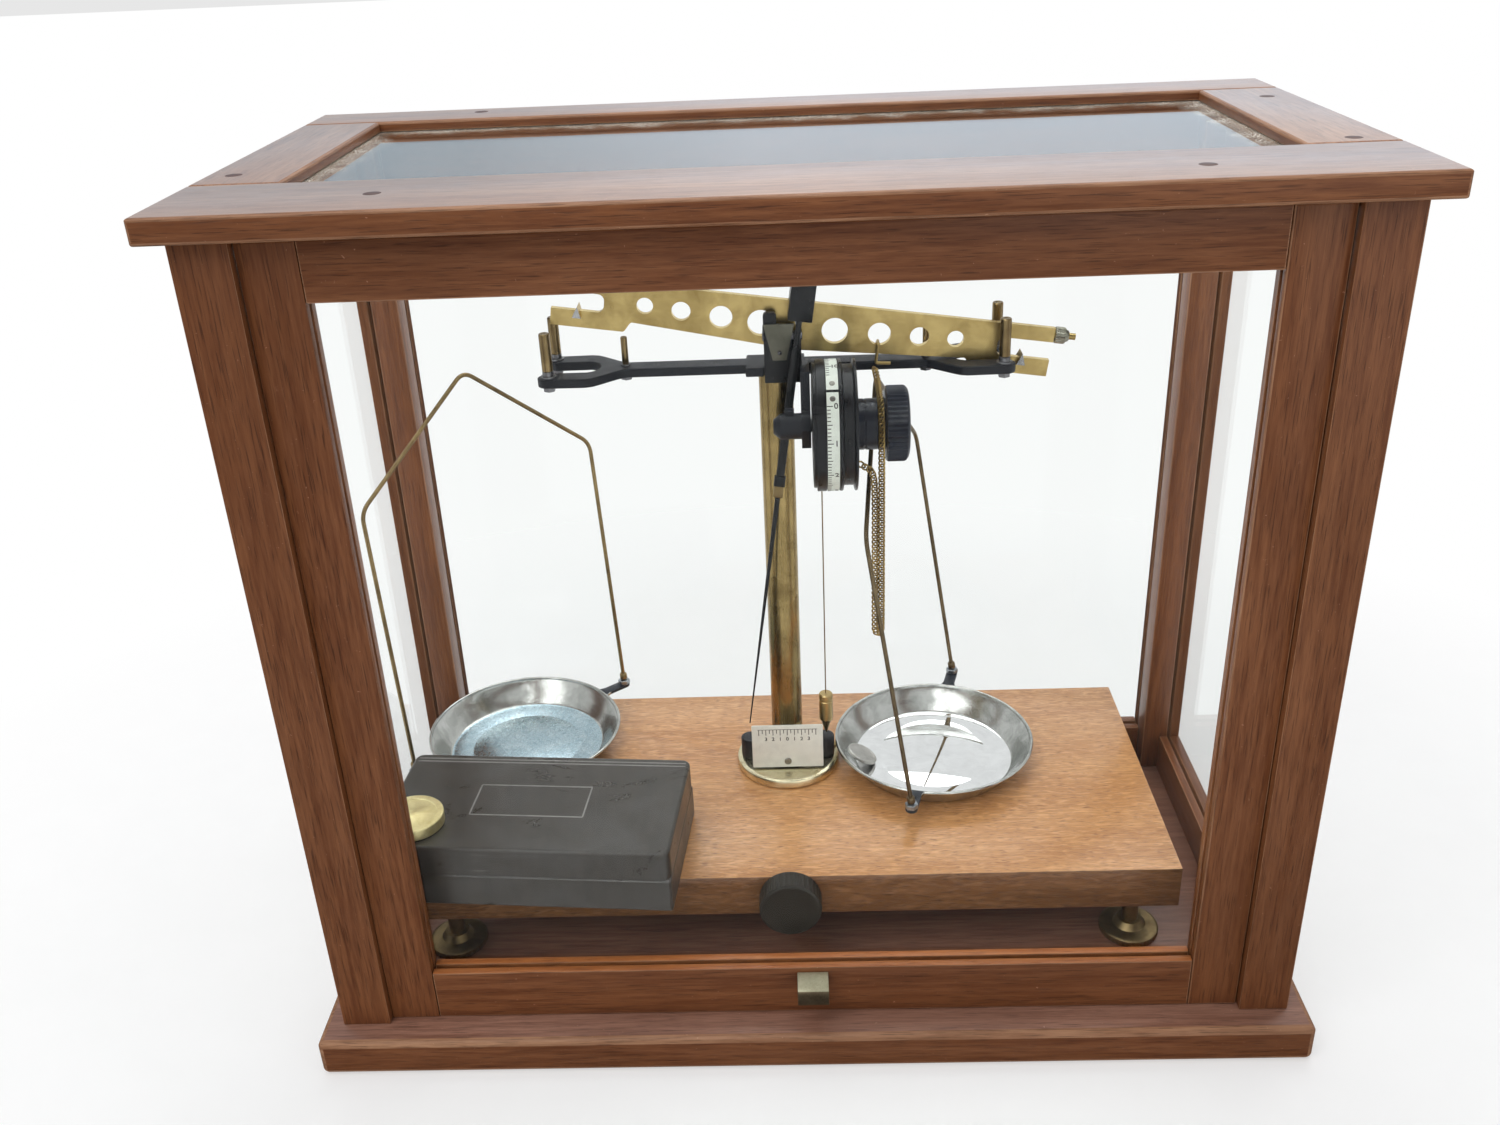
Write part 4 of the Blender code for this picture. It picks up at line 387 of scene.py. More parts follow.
class Finish:
    """One material, mixed step by step from nodes."""

    def __init__(self, name):
        self.material = bpy.data.materials.new(name)
        self.material.use_nodes = True
        self.tree = self.material.node_tree
        self.shader = self.tree.nodes["Principled BSDF"]
        self.here = self.add('ShaderNodeTexCoord').outputs["Object"]

    def add(self, kind, **values):
        node = self.tree.nodes.new(kind)
        for key, value in values.items():
            setattr(node, key, value)
        return node

    def feed(self, socket, value):
        if isinstance(value, bpy.types.NodeSocket):
            self.tree.links.new(value, socket)
        elif socket.type == 'RGBA':
            socket.default_value = (*value[:3], 1.0)
        else:
            socket.default_value = value

    def set(self, **values):
        for key, value in values.items():
            self.feed(self.shader.inputs[key.replace("_", " ")], value)

    def spread(self, scale=(1, 1, 1), turn=(0, 0, 0), shift=(0, 0, 0)):
        """Stretch, turn or shift the pattern."""
        node = self.add('ShaderNodeMapping')
        self.feed(node.inputs["Vector"], self.here)
        node.inputs["Scale"].default_value = scale
        node.inputs["Rotation"].default_value = turn
        node.inputs["Location"].default_value = shift
        return node.outputs["Vector"]

    def cloud(self, place, scale, detail=4.0, rough=0.55, warp=0.0):
        node = self.add('ShaderNodeTexNoise')
        self.feed(node.inputs["Vector"], place)
        node.inputs["Scale"].default_value = scale
        node.inputs["Detail"].default_value = detail
        node.inputs["Roughness"].default_value = rough
        node.inputs["Distortion"].default_value = warp
        return node.outputs["Fac"]

    def ramp(self, share, *stops):
        """Colours, or greys given as one number, along a value."""
        node = self.add('ShaderNodeValToRGB')
        self.feed(node.inputs["Fac"], share)
        while len(node.color_ramp.elements) < len(stops):
            node.color_ramp.elements.new(0.5)
        for element, (place, tone) in zip(node.color_ramp.elements, stops):
            element.position = place
            tone = (tone, tone, tone) if isinstance(tone, (int, float)) else tone
            element.color = (*tone, 1.0)
        return node.outputs["Color"]

    def mix(self, share, first, second, way='MIX'):
        node = self.add('ShaderNodeMix', data_type='RGBA', blend_type=way)
        self.feed(node.inputs["Factor"], share)
        self.feed(node.inputs[6], first)
        self.feed(node.inputs[7], second)
        return node.outputs[2]

    def sum(self, operation, first, second=0.5):
        node = self.add('ShaderNodeMath', operation=operation)
        self.feed(node.inputs[0], first)
        self.feed(node.inputs[1], second)
        return node.outputs["Value"]

    def rise(self, height, strength, depth, under=None):
        """Bump from a height."""
        node = self.add('ShaderNodeBump')
        node.inputs["Strength"].default_value = strength
        node.inputs["Distance"].default_value = depth
        self.feed(node.inputs["Height"], height)
        if under is not None:
            self.feed(node.inputs["Normal"], under)
        return node.outputs["Normal"]

    def scratches(self, turn, scale=260.0, thin=0.74, length=0.02):
        """Hairlines along one direction."""
        lines = self.cloud(self.spread(scale=(length, 1, 1), turn=turn), scale, 2.0, 0.5)
        return self.ramp(lines, (thin, 0.0), (min(thin + 0.03, 0.99), 1.0))


def timber(name, along, dark, middle, light, shift, gloss=0.42, coat=0.2):
    """Old varnished hardwood with its grain along one axis."""
    f = Finish(name)
    run = {"X": (0.055, 1, 1), "Y": (1, 0.055, 1), "Z": (1, 1, 0.055)}[along]
    fast = {"X": (0.03, 1, 1), "Y": (1, 0.03, 1), "Z": (1, 1, 0.03)}[along]
    place = (shift, shift * 0.61, shift * 0.37)
    figure = f.cloud(f.spread(run, shift=place), 46.0, 6.0, 0.62, 0.9)
    fine = f.cloud(f.spread(run, shift=place), 520.0, 4.0, 0.7, 0.2)
    pores = f.cloud(f.spread(fast, shift=place), 2300.0, 2.0, 0.5)
    drift = f.cloud(f.here, 7.0, 3.0, 0.5, 0.4)
    rubs = f.cloud(f.here, 95.0, 8.0, 0.78)
    tone = f.ramp(figure, (0.28, dark), (0.5, middle), (0.72, light))
    tone = f.mix(0.5, tone, f.ramp(fine, (0.36, dark), (0.64, light)))
    tone = f.mix(f.ramp(drift, (0.35, 0.0), (0.7, 0.42)), tone, [c * 0.62 for c in middle])
    pore = f.ramp(pores, (0.33, 1.0), (0.42, 0.0))
    tone = f.mix(f.sum('MULTIPLY', pore, 0.55), tone, [c * 0.3 for c in dark])
    worn = f.ramp(rubs, (0.66, 0.0), (0.78, 1.0))
    pale = [min(1.0, c * 1.5 + 0.08) for c in light]
    tone = f.mix(f.sum('MULTIPLY', worn, 0.4), tone, pale)
    nicks = f.ramp(f.cloud(f.here, 700.0, 3.0, 0.6, 0.6), (0.71, 0.0), (0.75, 1.0))
    tone = f.mix(f.sum('MULTIPLY', nicks, 0.5), tone, [min(1.0, c * 1.6 + 0.12) for c in light])
    lines = f.scratches((0.3, 0.5, 0.9), 300.0, 0.76, 0.012)
    tone = f.mix(f.sum('MULTIPLY', lines, 0.3), tone, pale)
    height = f.sum('SUBTRACT', f.sum('MULTIPLY', fine, 0.5), f.sum('MULTIPLY', pore, 0.7))
    f.set(Base_Color=tone,
          Roughness=f.ramp(f.mix(0.5, f.ramp(rubs, (0, 0), (1, 1)), f.ramp(figure, (0, 0), (1, 1))),
                           (0.35, gloss - 0.1), (0.7, gloss + 0.14)),
          Normal=f.rise(height, 0.35, 0.00022),
          Specular_IOR_Level=0.35, Coat_Weight=coat, Coat_Roughness=0.28)
    return f.material


def case_wood(name, along, shift):
    """Red-brown wood of the case."""
    return timber(name, along, [0.115, 0.031, 0.009], [0.205, 0.066, 0.020], [0.300, 0.115, 0.042], shift)


def board_wood(name, dark, middle, light, fleck):
    """Base board: brighter, with short flecks and a ripple whose sheen is painted in as paler streaks."""
    f = Finish(name)
    figure = f.cloud(f.spread((0.09, 1, 1)), 60.0, 6.0, 0.65, 1.0)
    ripple = f.cloud(f.spread((0.22, 1, 1)), 560.0, 3.0, 0.6, 0.5)
    flecks = f.cloud(f.spread((0.14, 1, 1), shift=(0.3, 0.1, 0)), 1500.0, 2.0, 0.5)
    drift = f.cloud(f.here, 9.0, 3.0, 0.5)
    tone = f.ramp(figure, (0.3, dark), (0.52, middle), (0.74, light))
    # Paler streaks along the ripple: a painted sheen.
    tone = f.mix(f.ramp(ripple, (0.48, 0.0), (0.64, 0.6)), tone, [min(1.0, c * 1.3 + 0.03) for c in light])
    tone = f.mix(f.ramp(drift, (0.35, 0.0), (0.7, 0.35)), tone, middle)
    dash = f.ramp(flecks, (0.36, 1.0), (0.44, 0.0))
    tone = f.mix(f.sum('MULTIPLY', dash, 0.6), tone, fleck)
    f.set(Base_Color=tone,
          Roughness=f.ramp(ripple, (0.35, 0.42), (0.65, 0.30)),
          Normal=f.rise(f.sum('SUBTRACT', f.sum('MULTIPLY', ripple, 0.8), dash), 0.4, 0.0003),
          Coat_Weight=0.5, Coat_Roughness=0.2)
    return f.material


def fresh_edge_wood():
    """Bright orange strip on the upward faces of the sash's bottom rail."""
    return timber("inner_lip_varnish", "X", [0.30, 0.085, 0.022], [0.44, 0.14, 0.04],
                  [0.56, 0.22, 0.075], 0.4, 0.34)


def plug_wood():
    f = Finish("screw_plug_wood")
    grain = f.cloud(f.spread((0.2, 1, 1)), 900.0, 4.0, 0.6)
    f.set(Base_Color=f.ramp(grain, (0.3, (0.045, 0.014, 0.008)), (0.7, (0.10, 0.035, 0.018))),
          Roughness=f.ramp(grain, (0.3, 0.42), (0.7, 0.6)),
          Normal=f.rise(grain, 0.3, 0.0002))
    return f.material


def pane_glass(name, index, tint=(0.975, 0.985, 0.98)):
    """Old sheet glass, a little wavy, clear to the lamps."""
    f = Finish(name)
    wave = f.cloud(f.here, 14.0, 2.0, 0.4)
    smear = f.cloud(f.here, 60.0, 5.0, 0.7)
    f.set(Base_Color=tint,
          Roughness=f.ramp(smear, (0.6, 0.0), (0.9, 0.03)),
          Normal=f.rise(wave, 0.012, 0.002),
          Transmission_Weight=1.0, IOR=index)
    clear = f.add('ShaderNodeBsdfTransparent')
    clear.inputs["Color"].default_value = (0.95, 0.965, 0.955, 1.0)
    path = f.add('ShaderNodeLightPath')
    blend = f.add('ShaderNodeMixShader')
    f.tree.links.new(path.outputs["Is Shadow Ray"], blend.inputs[0])
    f.tree.links.new(f.shader.outputs[0], blend.inputs[1])
    f.tree.links.new(clear.outputs[0], blend.inputs[2])
    f.tree.links.new(blend.outputs[0], f.tree.nodes["Material Output"].inputs["Surface"])
    return f


def dusty_glass():
    """Glass of the lid, with dust lying along its frame."""
    f = pane_glass("lid_glass", 1.47, (0.93, 0.965, 0.965))
    grains = f.cloud(f.here, 1300.0, 3.0, 0.6)
    drift = f.cloud(f.here, 45.0, 5.0, 0.7)
    split = f.add('ShaderNodeSeparateXYZ')
    opening_middle, half_width, half_depth = 0.0125, 0.1966, 0.0741
    f.feed(split.inputs[0], f.spread(shift=(0, -opening_middle, 0)))
    wide = f.sum('SUBTRACT', f.sum('ABSOLUTE', split.outputs["X"]), half_width)
    deep = f.sum('SUBTRACT', f.sum('ABSOLUTE', split.outputs["Y"]), half_depth)
    inward = f.sum('MAXIMUM', wide, deep)
    near = f.ramp(f.sum('ADD', f.sum('MULTIPLY', inward, 24.0), f.sum('ADD', drift, 0.16)),
                  (0.40, 0.0), (0.68, 1.0))
    share = f.sum('MULTIPLY', near, f.ramp(grains, (0.50, 0.0), (0.58, 0.95)))
    dust = f.add('ShaderNodeBsdfDiffuse')
    f.feed(dust.inputs["Color"], f.ramp(drift, (0.3, (0.70, 0.63, 0.52)), (0.7, (0.90, 0.86, 0.78))))
    out = f.tree.nodes["Material Output"]
    below = out.inputs["Surface"].links[0].from_socket
    laid = f.add('ShaderNodeMixShader')
    f.feed(laid.inputs[0], share)
    f.tree.links.new(below, laid.inputs[1])
    f.tree.links.new(dust.outputs[0], laid.inputs[2])
    f.tree.links.new(laid.outputs[0], out.inputs["Surface"])
    return f


def metal(name, dark, light, rough, brush=None, spots=0.35, relief=0.25, metallic=1.0):
    """Worn metal with stains, hairlines and, where it was drawn or brushed, a lay."""
    f = Finish(name)
    stain = f.cloud(f.here, 70.0, 6.0, 0.65, 0.4)
    speck = f.cloud(f.here, 1100.0, 4.0, 0.7)
    lay_scale = {None: (1, 1, 1), "X": (0.02, 1, 1), "Y": (1, 0.02, 1), "Z": (1, 1, 0.02)}[brush]
    grain = f.cloud(f.spread(lay_scale), 2600.0 if brush else 900.0, 3.0, 0.6)
    tone = f.ramp(stain, (0.3, dark), (0.62, light))
    tone = f.mix(f.sum('MULTIPLY', f.ramp(speck, (0.58, 0.0), (0.72, 1.0)), spots), tone,
                 [c * 0.35 for c in dark])
    tone = f.mix(f.sum('MULTIPLY', f.ramp(grain, (0.4, 0.0), (0.7, 1.0)), 0.18), tone,
                 [min(1.0, c * 1.25) for c in light])
    lines = f.scratches((0.7, 0.2, 1.1), 420.0, 0.75, 0.02)
    f.set(Base_Color=tone,
          Roughness=f.ramp(f.mix(0.5, f.ramp(stain, (0, 0), (1, 1)), f.ramp(grain, (0, 0), (1, 1))),
                           (0.3, rough + 0.12), (0.7, rough)),
          Normal=f.rise(f.sum('ADD', f.sum('MULTIPLY', grain, 0.5), f.sum('MULTIPLY', lines, 0.4)),
                        relief, 0.00006),
          Metallic=metallic)
    return f.material


def turned_metal(name, centre, axis, dark, light, rough):
    """Metal with the fine rings that a lathe or a polishing wheel leaves."""
    f = Finish(name)
    near = f.spread(shift=[-c for c in centre])
    flat = {"X": (0, 1, 1), "Y": (1, 0, 1), "Z": (1, 1, 0)}[axis]
    squash = f.add('ShaderNodeVectorMath', operation='MULTIPLY')
    f.feed(squash.inputs[0], near)
    squash.inputs[1].default_value = flat
    length = f.add('ShaderNodeVectorMath', operation='LENGTH')
    f.feed(length.inputs[0], squash.outputs["Vector"])
    ring = f.add('ShaderNodeTexNoise', noise_dimensions='1D')
    f.feed(ring.inputs["W"], length.outputs["Value"])
    ring.inputs["Scale"].default_value = 5200.0
    ring.inputs["Detail"].default_value = 3.0
    rings = ring.outputs["Fac"]
    stain = f.cloud(f.here, 85.0, 6.0, 0.7, 0.6)
    spots = f.cloud(f.here, 420.0, 5.0, 0.75)
    tone = f.ramp(stain, (0.3, dark), (0.6, light))
    tone = f.mix(f.sum('MULTIPLY', f.ramp(spots, (0.64, 0.0), (0.78, 1.0)), 0.3), tone,
                 [c * 0.5 for c in dark])
    lines = f.scratches((0.2, 0.1, 0.8), 380.0, 0.75, 0.015)
    more = f.scratches((0.1, 0.3, -0.5), 340.0, 0.76, 0.015)
    height = f.sum('ADD', f.sum('MULTIPLY', rings, 0.35), f.sum('ADD', lines, more))
    f.set(Base_Color=tone,
          Roughness=f.ramp(f.mix(0.4, f.ramp(stain, (0, 0), (1, 1)), f.ramp(rings, (0, 0), (1, 1))),
                           (0.3, rough * 1.6), (0.7, rough)),
          Normal=f.rise(height, 0.08, 0.00003), Metallic=1.0)
    return f.material


def enamel(name, tone=(0.005, 0.006, 0.008), rough=0.30, worn=(0.10, 0.09, 0.08)):
    """Black stoved enamel with dust and small bare spots."""
    f = Finish(name)
    dust = f.cloud(f.here, 130.0, 7.0, 0.75)
    chips = f.cloud(f.here, 520.0, 5.0, 0.7, 0.5)
    orange = f.cloud(f.here, 1700.0, 2.0, 0.5)
    look = f.mix(f.ramp(dust, (0.45, 0.0), (0.8, 0.25)), tone, [c * 3 + 0.02 for c in tone])
    bare = f.ramp(chips, (0.70, 0.0), (0.74, 1.0))
    look = f.mix(f.sum('MULTIPLY', bare, 0.6), look, worn)
    f.set(Base_Color=look,
          Roughness=f.ramp(dust, (0.35, rough - 0.06), (0.75, rough + 0.2)),
          Normal=f.rise(f.sum('SUBTRACT', f.sum('MULTIPLY', orange, 0.5), bare), 0.22, 0.00008),
          Specular_IOR_Level=0.32)
    return f.material


def box_cloth():
    """Black covering of the weights box, with grey scuffs scattered over it."""
    f = Finish("box_covering")
    leather = f.cloud(f.here, 1500.0, 4.0, 0.6, 0.3)
    streak = f.cloud(f.spread((1, 0.18, 0.18)), 240.0, 5.0, 0.65)
    scuff = f.cloud(f.spread((0.45, 1, 1)), 42.0, 7.0, 0.72, 0.6)
    marks = f.scratches((0.1, 0.1, 0.5), 260.0, 0.73, 0.02)
    tone = f.ramp(streak, (0.3, (0.020, 0.016, 0.012)), (0.7, (0.042, 0.035, 0.028)))
    tone = f.mix(f.ramp(scuff, (0.42, 0.0), (0.72, 0.6)), tone, (0.075, 0.072, 0.070))
    tone = f.mix(f.sum('MULTIPLY', f.ramp(leather, (0.6, 0.0), (0.75, 1.0)), 0.3), tone, (0.10, 0.095, 0.09))
    tone = f.mix(f.sum('MULTIPLY', marks, 0.4), tone, (0.22, 0.21, 0.19))
    f.set(Base_Color=tone,
          Roughness=f.ramp(scuff, (0.35, 0.26), (0.75, 0.46)),
          Normal=f.rise(f.sum('ADD', f.sum('MULTIPLY', leather, 0.4), marks), 0.2, 0.00008))
    return f.material


def ivory_face(name, tone=(0.74, 0.73, 0.66)):
    """Aged white celluloid."""
    f = Finish(name)
    age = f.cloud(f.here, 160.0, 6.0, 0.65, 0.3)
    speck = f.cloud(f.here, 2400.0, 4.0, 0.7)
    look = f.ramp(age, (0.3, [c * 0.86 for c in tone]), (0.62, tone))
    look = f.mix(f.sum('MULTIPLY', f.ramp(speck, (0.64, 0.0), (0.74, 1.0)), 0.4), look,
                 (0.30, 0.26, 0.18))
    f.set(Base_Color=look,
          Roughness=f.ramp(age, (0.3, 0.30), (0.7, 0.45)),
          Normal=f.rise(age, 0.1, 0.0001))
    return f.material


def ink():
    f = Finish("dial_ink")
    fade = f.cloud(f.here, 1900.0, 4.0, 0.7)
    f.set(Base_Color=f.ramp(fade, (0.35, (0.014, 0.013, 0.012)), (0.75, (0.10, 0.09, 0.075))),
          Roughness=f.ramp(fade, (0.3, 0.45), (0.7, 0.6)),
          Normal=f.rise(fade, 0.1, 0.00002))
    return f.material


def floor_paper():
    """White sweep under and behind the balance: it keeps the shadow, and far off it is plain white."""
    f = Finish("floor_sweep")
    tooth = f.cloud(f.here, 40.0, 3.0, 0.5)
    f.set(Base_Color=f.ramp(tooth, (0.3, 0.80), (0.7, 0.82)), Roughness=0.9,
          Specular_IOR_Level=0.1, Emission_Color=(1, 1, 1), Emission_Strength=0.16)
    path = f.add('ShaderNodeLightPath')
    far = f.add('ShaderNodeTexGradient', gradient_type='SPHERICAL')
    f.feed(far.inputs["Vector"], f.spread((1.5, 1.9, 1), shift=(0, 2.75, 0)))
    away = f.ramp(far.outputs["Fac"], (0.08, 1.0), (0.42, 0.35))
    white = f.add('ShaderNodeEmission')
    dark = f.add('ShaderNodeBsdfDiffuse')
    dark.inputs["Color"].default_value = (0.05, 0.045, 0.04, 1.0)
    open_air = f.add('ShaderNodeMixShader')
    straight = f.sum('MAXIMUM', path.outputs["Is Camera Ray"], path.outputs["Is Transmission Ray"])
    f.feed(open_air.inputs[0], f.sum('MULTIPLY', away, straight))
    f.tree.links.new(f.shader.outputs[0], open_air.inputs[1])
    f.tree.links.new(white.outputs[0], open_air.inputs[2])
    mirrored = f.add('ShaderNodeMixShader')
    f.feed(mirrored.inputs[0], f.sum('GREATER_THAN', f.sum('SUBTRACT', path.outputs["Is Glossy Ray"],
                                                           straight), 0.5))
    f.tree.links.new(open_air.outputs[0], mirrored.inputs[1])
    f.tree.links.new(dark.outputs[0], mirrored.inputs[2])
    f.tree.links.new(mirrored.outputs[0], f.tree.nodes["Material Output"].inputs["Surface"])
    return f.material


# Case

def case_boards():
    """The wooden pieces: their arrises are rubbed, and the upward faces of the lid and plinth get paler
    copies of the wood, painted light for the light and sheen they catch.
    """
    upright = [case_wood("post_varnish_" + str(i), "Z", 0.13 * i) for i in range(4)]
    lengthwise = [case_wood("rail_varnish_" + str(i), "X", 0.17 * i) for i in range(3)]
    crosswise = [case_wood("side_rail_varnish_" + str(i), "Y", 0.21 * i) for i in range(2)]
    lid_long = case_wood("lid_edge_varnish_long", "X", 0.9)
    lid_short = case_wood("lid_edge_varnish_short", "Y", 1.3)
    foot = case_wood("plinth_varnish", "X", 2.1)
    lit_tops = {"X": faded_top("lid_top_long", "X", 0.4), "Y": faded_top("lid_top_short", "Y", 0.8)}
    # Lighter wood for the plinth's upward face: painted light, as the open top catches more light than the
    # front.
    step = timber("plinth_top_painted_light", "X", [0.14, 0.052, 0.030], [0.26, 0.115, 0.072], [0.40, 0.205, 0.140],
                  1.7, 0.42, 0.4)
    rubbed = {axis: timber("rubbed_arris_" + axis, axis, [0.19, 0.075, 0.030], [0.33, 0.150, 0.072],
                           [0.50, 0.270, 0.150], 0.6, 0.5, 0.1) for axis in "XYZ"}
    finishes = {
        "plinth": (foot, "X"), "front_left_post": (upright[0], "Z"), "front_right_post": (upright[1], "Z"),
        "rear_left_post": (upright[2], "Z"), "rear_right_post": (upright[3], "Z"),
        "left_bottom_rail": (crosswise[0], "Y"), "left_top_rail": (crosswise[1], "Y"),
        "right_bottom_rail": (crosswise[1], "Y"), "right_top_rail": (crosswise[0], "Y"),
        "rear_bottom_rail": (lengthwise[0], "X"), "rear_top_rail": (lengthwise[1], "X"),
        "top_front_board": (lid_long, "X"), "top_back_board": (lid_long, "X"),
        "top_left_board": (lid_short, "Y"), "top_right_board": (lid_short, "Y"),
        "sash_left_stile": (upright[2], "Z"), "sash_right_stile": (upright[3], "Z"),
        "sash_bottom_rail": (lengthwise[2], "X"), "sash_top_rail": (lengthwise[1], "X"),
    }
    for node, (finish, along) in finishes.items():
        edge = 0.0009 if node == "plinth" or node.startswith("top") else 0.0006
        piece = from_solid(node, node + "_wood", edge, 2, 40)
        fit(piece, node, [finish, rubbed[along]])
        paint(piece, 1, lambda c, n: max(abs(n.x), abs(n.y), abs(n.z)) < 0.97)
        if node.startswith("top"):
            # The lid's upward faces get the paler wood: painted light and sheen.
            piece.data.materials.append(lit_tops[along])
            paint(piece, 2, lambda c, n: n.z > 0.97)
        if node == "plinth":
            piece.data.materials.append(step)
            paint(piece, 2, lambda c, n: n.z > 0.97)
        if node == "sash_bottom_rail":
            piece.data.materials.append(fresh_edge_wood())
            paint(piece, 2, lambda c, n: n.z > 0.5 and c.z > 0.045)
    # The board's top gets bright wood, painted light and sheen, and its sides a darker copy, painted shade.
    top = board_wood("board_varnish", (0.42, 0.175, 0.050), (0.54, 0.255, 0.088), (0.60, 0.31, 0.12),
                     (0.19, 0.068, 0.020))
    sides = board_wood("board_sides_painted_shade", (0.11, 0.042, 0.013), (0.17, 0.070, 0.023), (0.23, 0.105, 0.038),
                       (0.05, 0.018, 0.006))
    board = from_solid("base_board", "base_board_wood", 0.0010, 3, 40)
    fit(board, "base_board", [sides, top])
    paint(board, 1, lambda c, n: n.z > 0.6)


def faded_top(name, along, shift):
    """Upper faces of the lid: a paler copy of the case wood, painted light for the light and sheen the tops
    catch, with pale rubbed patches here and there.
    """
    return timber(name, along, [0.25, 0.120, 0.078], [0.40, 0.225, 0.150], [0.55, 0.345, 0.235],
                  shift, 0.40, 0.85)


def screw_plugs():
    """Six dark wooden plugs over the screws that hold the lid."""
    finish = plug_wood()
    places = ((-0.153, -0.090, "top_front_board"), (-0.151, 0.108, "top_back_board"),
              (-0.222, -0.042, "top_left_board"), (0.151, -0.094, "top_front_board"),
              (0.220, 0.059, "top_right_board"), (0.218, -0.052, "top_right_board"))
    profile = [(0, -0.0006), (0.0036, -0.0006), (0.0036, -0.00005), (0.0034, 0.00002), (0, 0.00002)]
    for number, (x, y, node) in enumerate(places):
        plug = turned("lid_plug_" + str(number), profile, 24)
        smooth(put(plug, Matrix.Translation((x, y, TOP_HIGH - 0.00001))))
        fit(plug, node, finish, replaces=False)


def panes():
    clear = pane_glass("wall_glass", 1.18).material
    for node in ("left_pane", "right_pane", "rear_pane", "sash_pane"):
        dress(node, clear)
    dress("top_pane", dusty_glass().material)


def finger_pull():
    """Brass pull, its top rubbed pale and its front darkened."""
    front = metal("pull_front_brass", (0.10, 0.072, 0.042), (0.20, 0.15, 0.09), 0.42, None, 0.5, 0.5, 0.7)
    top = metal("pull_top_brass", (0.30, 0.28, 0.18), (0.46, 0.43, 0.30), 0.40, None, 0.6, 0.5, 0.5)
    piece = from_solid("finger_pull", "finger_pull_brass", 0.0004, 2, 40)
    fit(piece, "finger_pull", [front, top])
    paint(piece, 1, lambda c, n: n.z > 0.6)


# Board fittings

def levelling_feet():
    """Four brass screws with knurled heads."""
    brass = metal("foot_brass", (0.16, 0.11, 0.05), (0.34, 0.25, 0.12), 0.36)
    profile = [(0, 0), (0.0139, 0), (0.0146, 0.0006), (0.0147, 0.0007), (0.0147, 0.0030),
               (0.0144, 0.0034), (0.0136, 0.0040), (0.0125, 0.0042), (0.0082, 0.0047),
               (0.0078, 0.0050), (0.0061, 0.0078), (0.0059, 0.0080), (0.0040, 0.0080),
               (0.0040, 0.0414), (0, 0.0414)]
    sides = 96
    for node in ("front_left_foot", "front_right_foot", "rear_left_foot", "rear_right_foot"):
        low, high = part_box(node)
        foot = turned(node + "_screw", profile, sides)
        knurl(foot, 0.0005, 0.0032, 0.0147, 0.0005, sides)
        put(foot, Matrix.Translation(((low.x + high.x) / 2, (low.y + high.y) / 2, low.z)))
        fit(smooth(foot, 28), node, brass)


def arrest_knob():
    """Dark knurled knob with a shallow dished face."""
    dark = enamel("arrest_knob_finish", (0.016, 0.013, 0.009), 0.4, (0.16, 0.13, 0.08))
    profile = [(0, 0.0004), (0.0050, 0.0004), (0.0062, 0.0003), (0.0112, 0.0003), (0.0122, 0.0),
               (0.0140, 0.0), (0.0150, 0.0007), (0.0152, 0.0010), (0.0152, 0.0105),
               (0.0148, 0.0112), (0.0142, 0.0115), (0, 0.0115)]
    sides = 80
    knob = turned("arrest_knob_grip", profile, sides)
    knurl(knob, 0.0006, 0.0108, 0.0152, 0.0005, sides)
    lay(knob, "Y", (COLUMN_X, BOARD_FRONT - 0.0003 - 0.0115, 0.06075))
    fit(smooth(knob, 28), "arrest_knob", dark)


def column_and_flange():
    """Column tube on its polished flange."""
    brass = metal("column_brass", (0.20, 0.14, 0.055), (0.38, 0.28, 0.12), 0.2, "Z", 0.3, 0.2)
    profile = [(0.0036, 0), (0.0080, 0), (0.0082, 0.0002), (0.0082, 0.0220), (0.00815, 0.0222),
               (0.0082, 0.0224), (0.0082, 0.2180), (0.0078, 0.2187), (0.0036, 0.2187)]
    column = turned("column_tube", profile + [profile[0]], 72)
    fit(smooth(put(column, Matrix.Translation((COLUMN_X, COLUMN_Y, COLUMN_LOW)))), "column", brass)
    polished = turned_metal("flange_brass", (COLUMN_X, COLUMN_Y, 0), "Z", (0.56, 0.49, 0.30),
                            (0.82, 0.76, 0.54), 0.2)
    profile = [(0.0036, 0), (0.0274, 0), (0.0278, 0.0004), (0.0278, 0.0034), (0.0274, 0.0042),
               (0.0264, 0.0048), (0.0250, 0.0050), (0.0120, 0.0050), (0.0118, 0.0048),
               (0.0108, 0.0048), (0.0106, 0.0050), (0.0036, 0.0050)]
    flange = turned("column_flange_disc", profile + [profile[0]], 96)
    fit(smooth(put(flange, Matrix.Translation((COLUMN_X, COLUMN_Y, SEAT)))), "column_flange",
        polished)


def slotted_screw(name, radius, height):
    """Cheese-head screw with a sawn slot."""
    profile = [(0, 0), (radius, 0), (radius, height * 0.7), (radius * 0.86, height), (0, height)]
    head = turned(name, profile, 24)
    let_go()
    bpy.ops.mesh.primitive_cube_add(size=1, location=(0, 0, height),
                                    scale=(radius * 2.4, radius * 0.3, height * 0.7))
    saw = bpy.context.object
    cut = head.modifiers.new("slot", 'BOOLEAN')
    cut.operation = 'DIFFERENCE'
    cut.solver = 'EXACT'
    cut.object = saw
    take(head)
    bpy.ops.object.modifier_apply(modifier=cut.name)
    bpy.data.objects.remove(saw, do_unlink=True)
    return smooth(head)


def flange_screw(brass):
    screw = slotted_screw("flange_screw", 0.0021, 0.0012)
    put(screw, Matrix.Translation((0.0172, 0.0345, 0.0772)))
    fit(screw, "column_flange", brass, replaces=False)


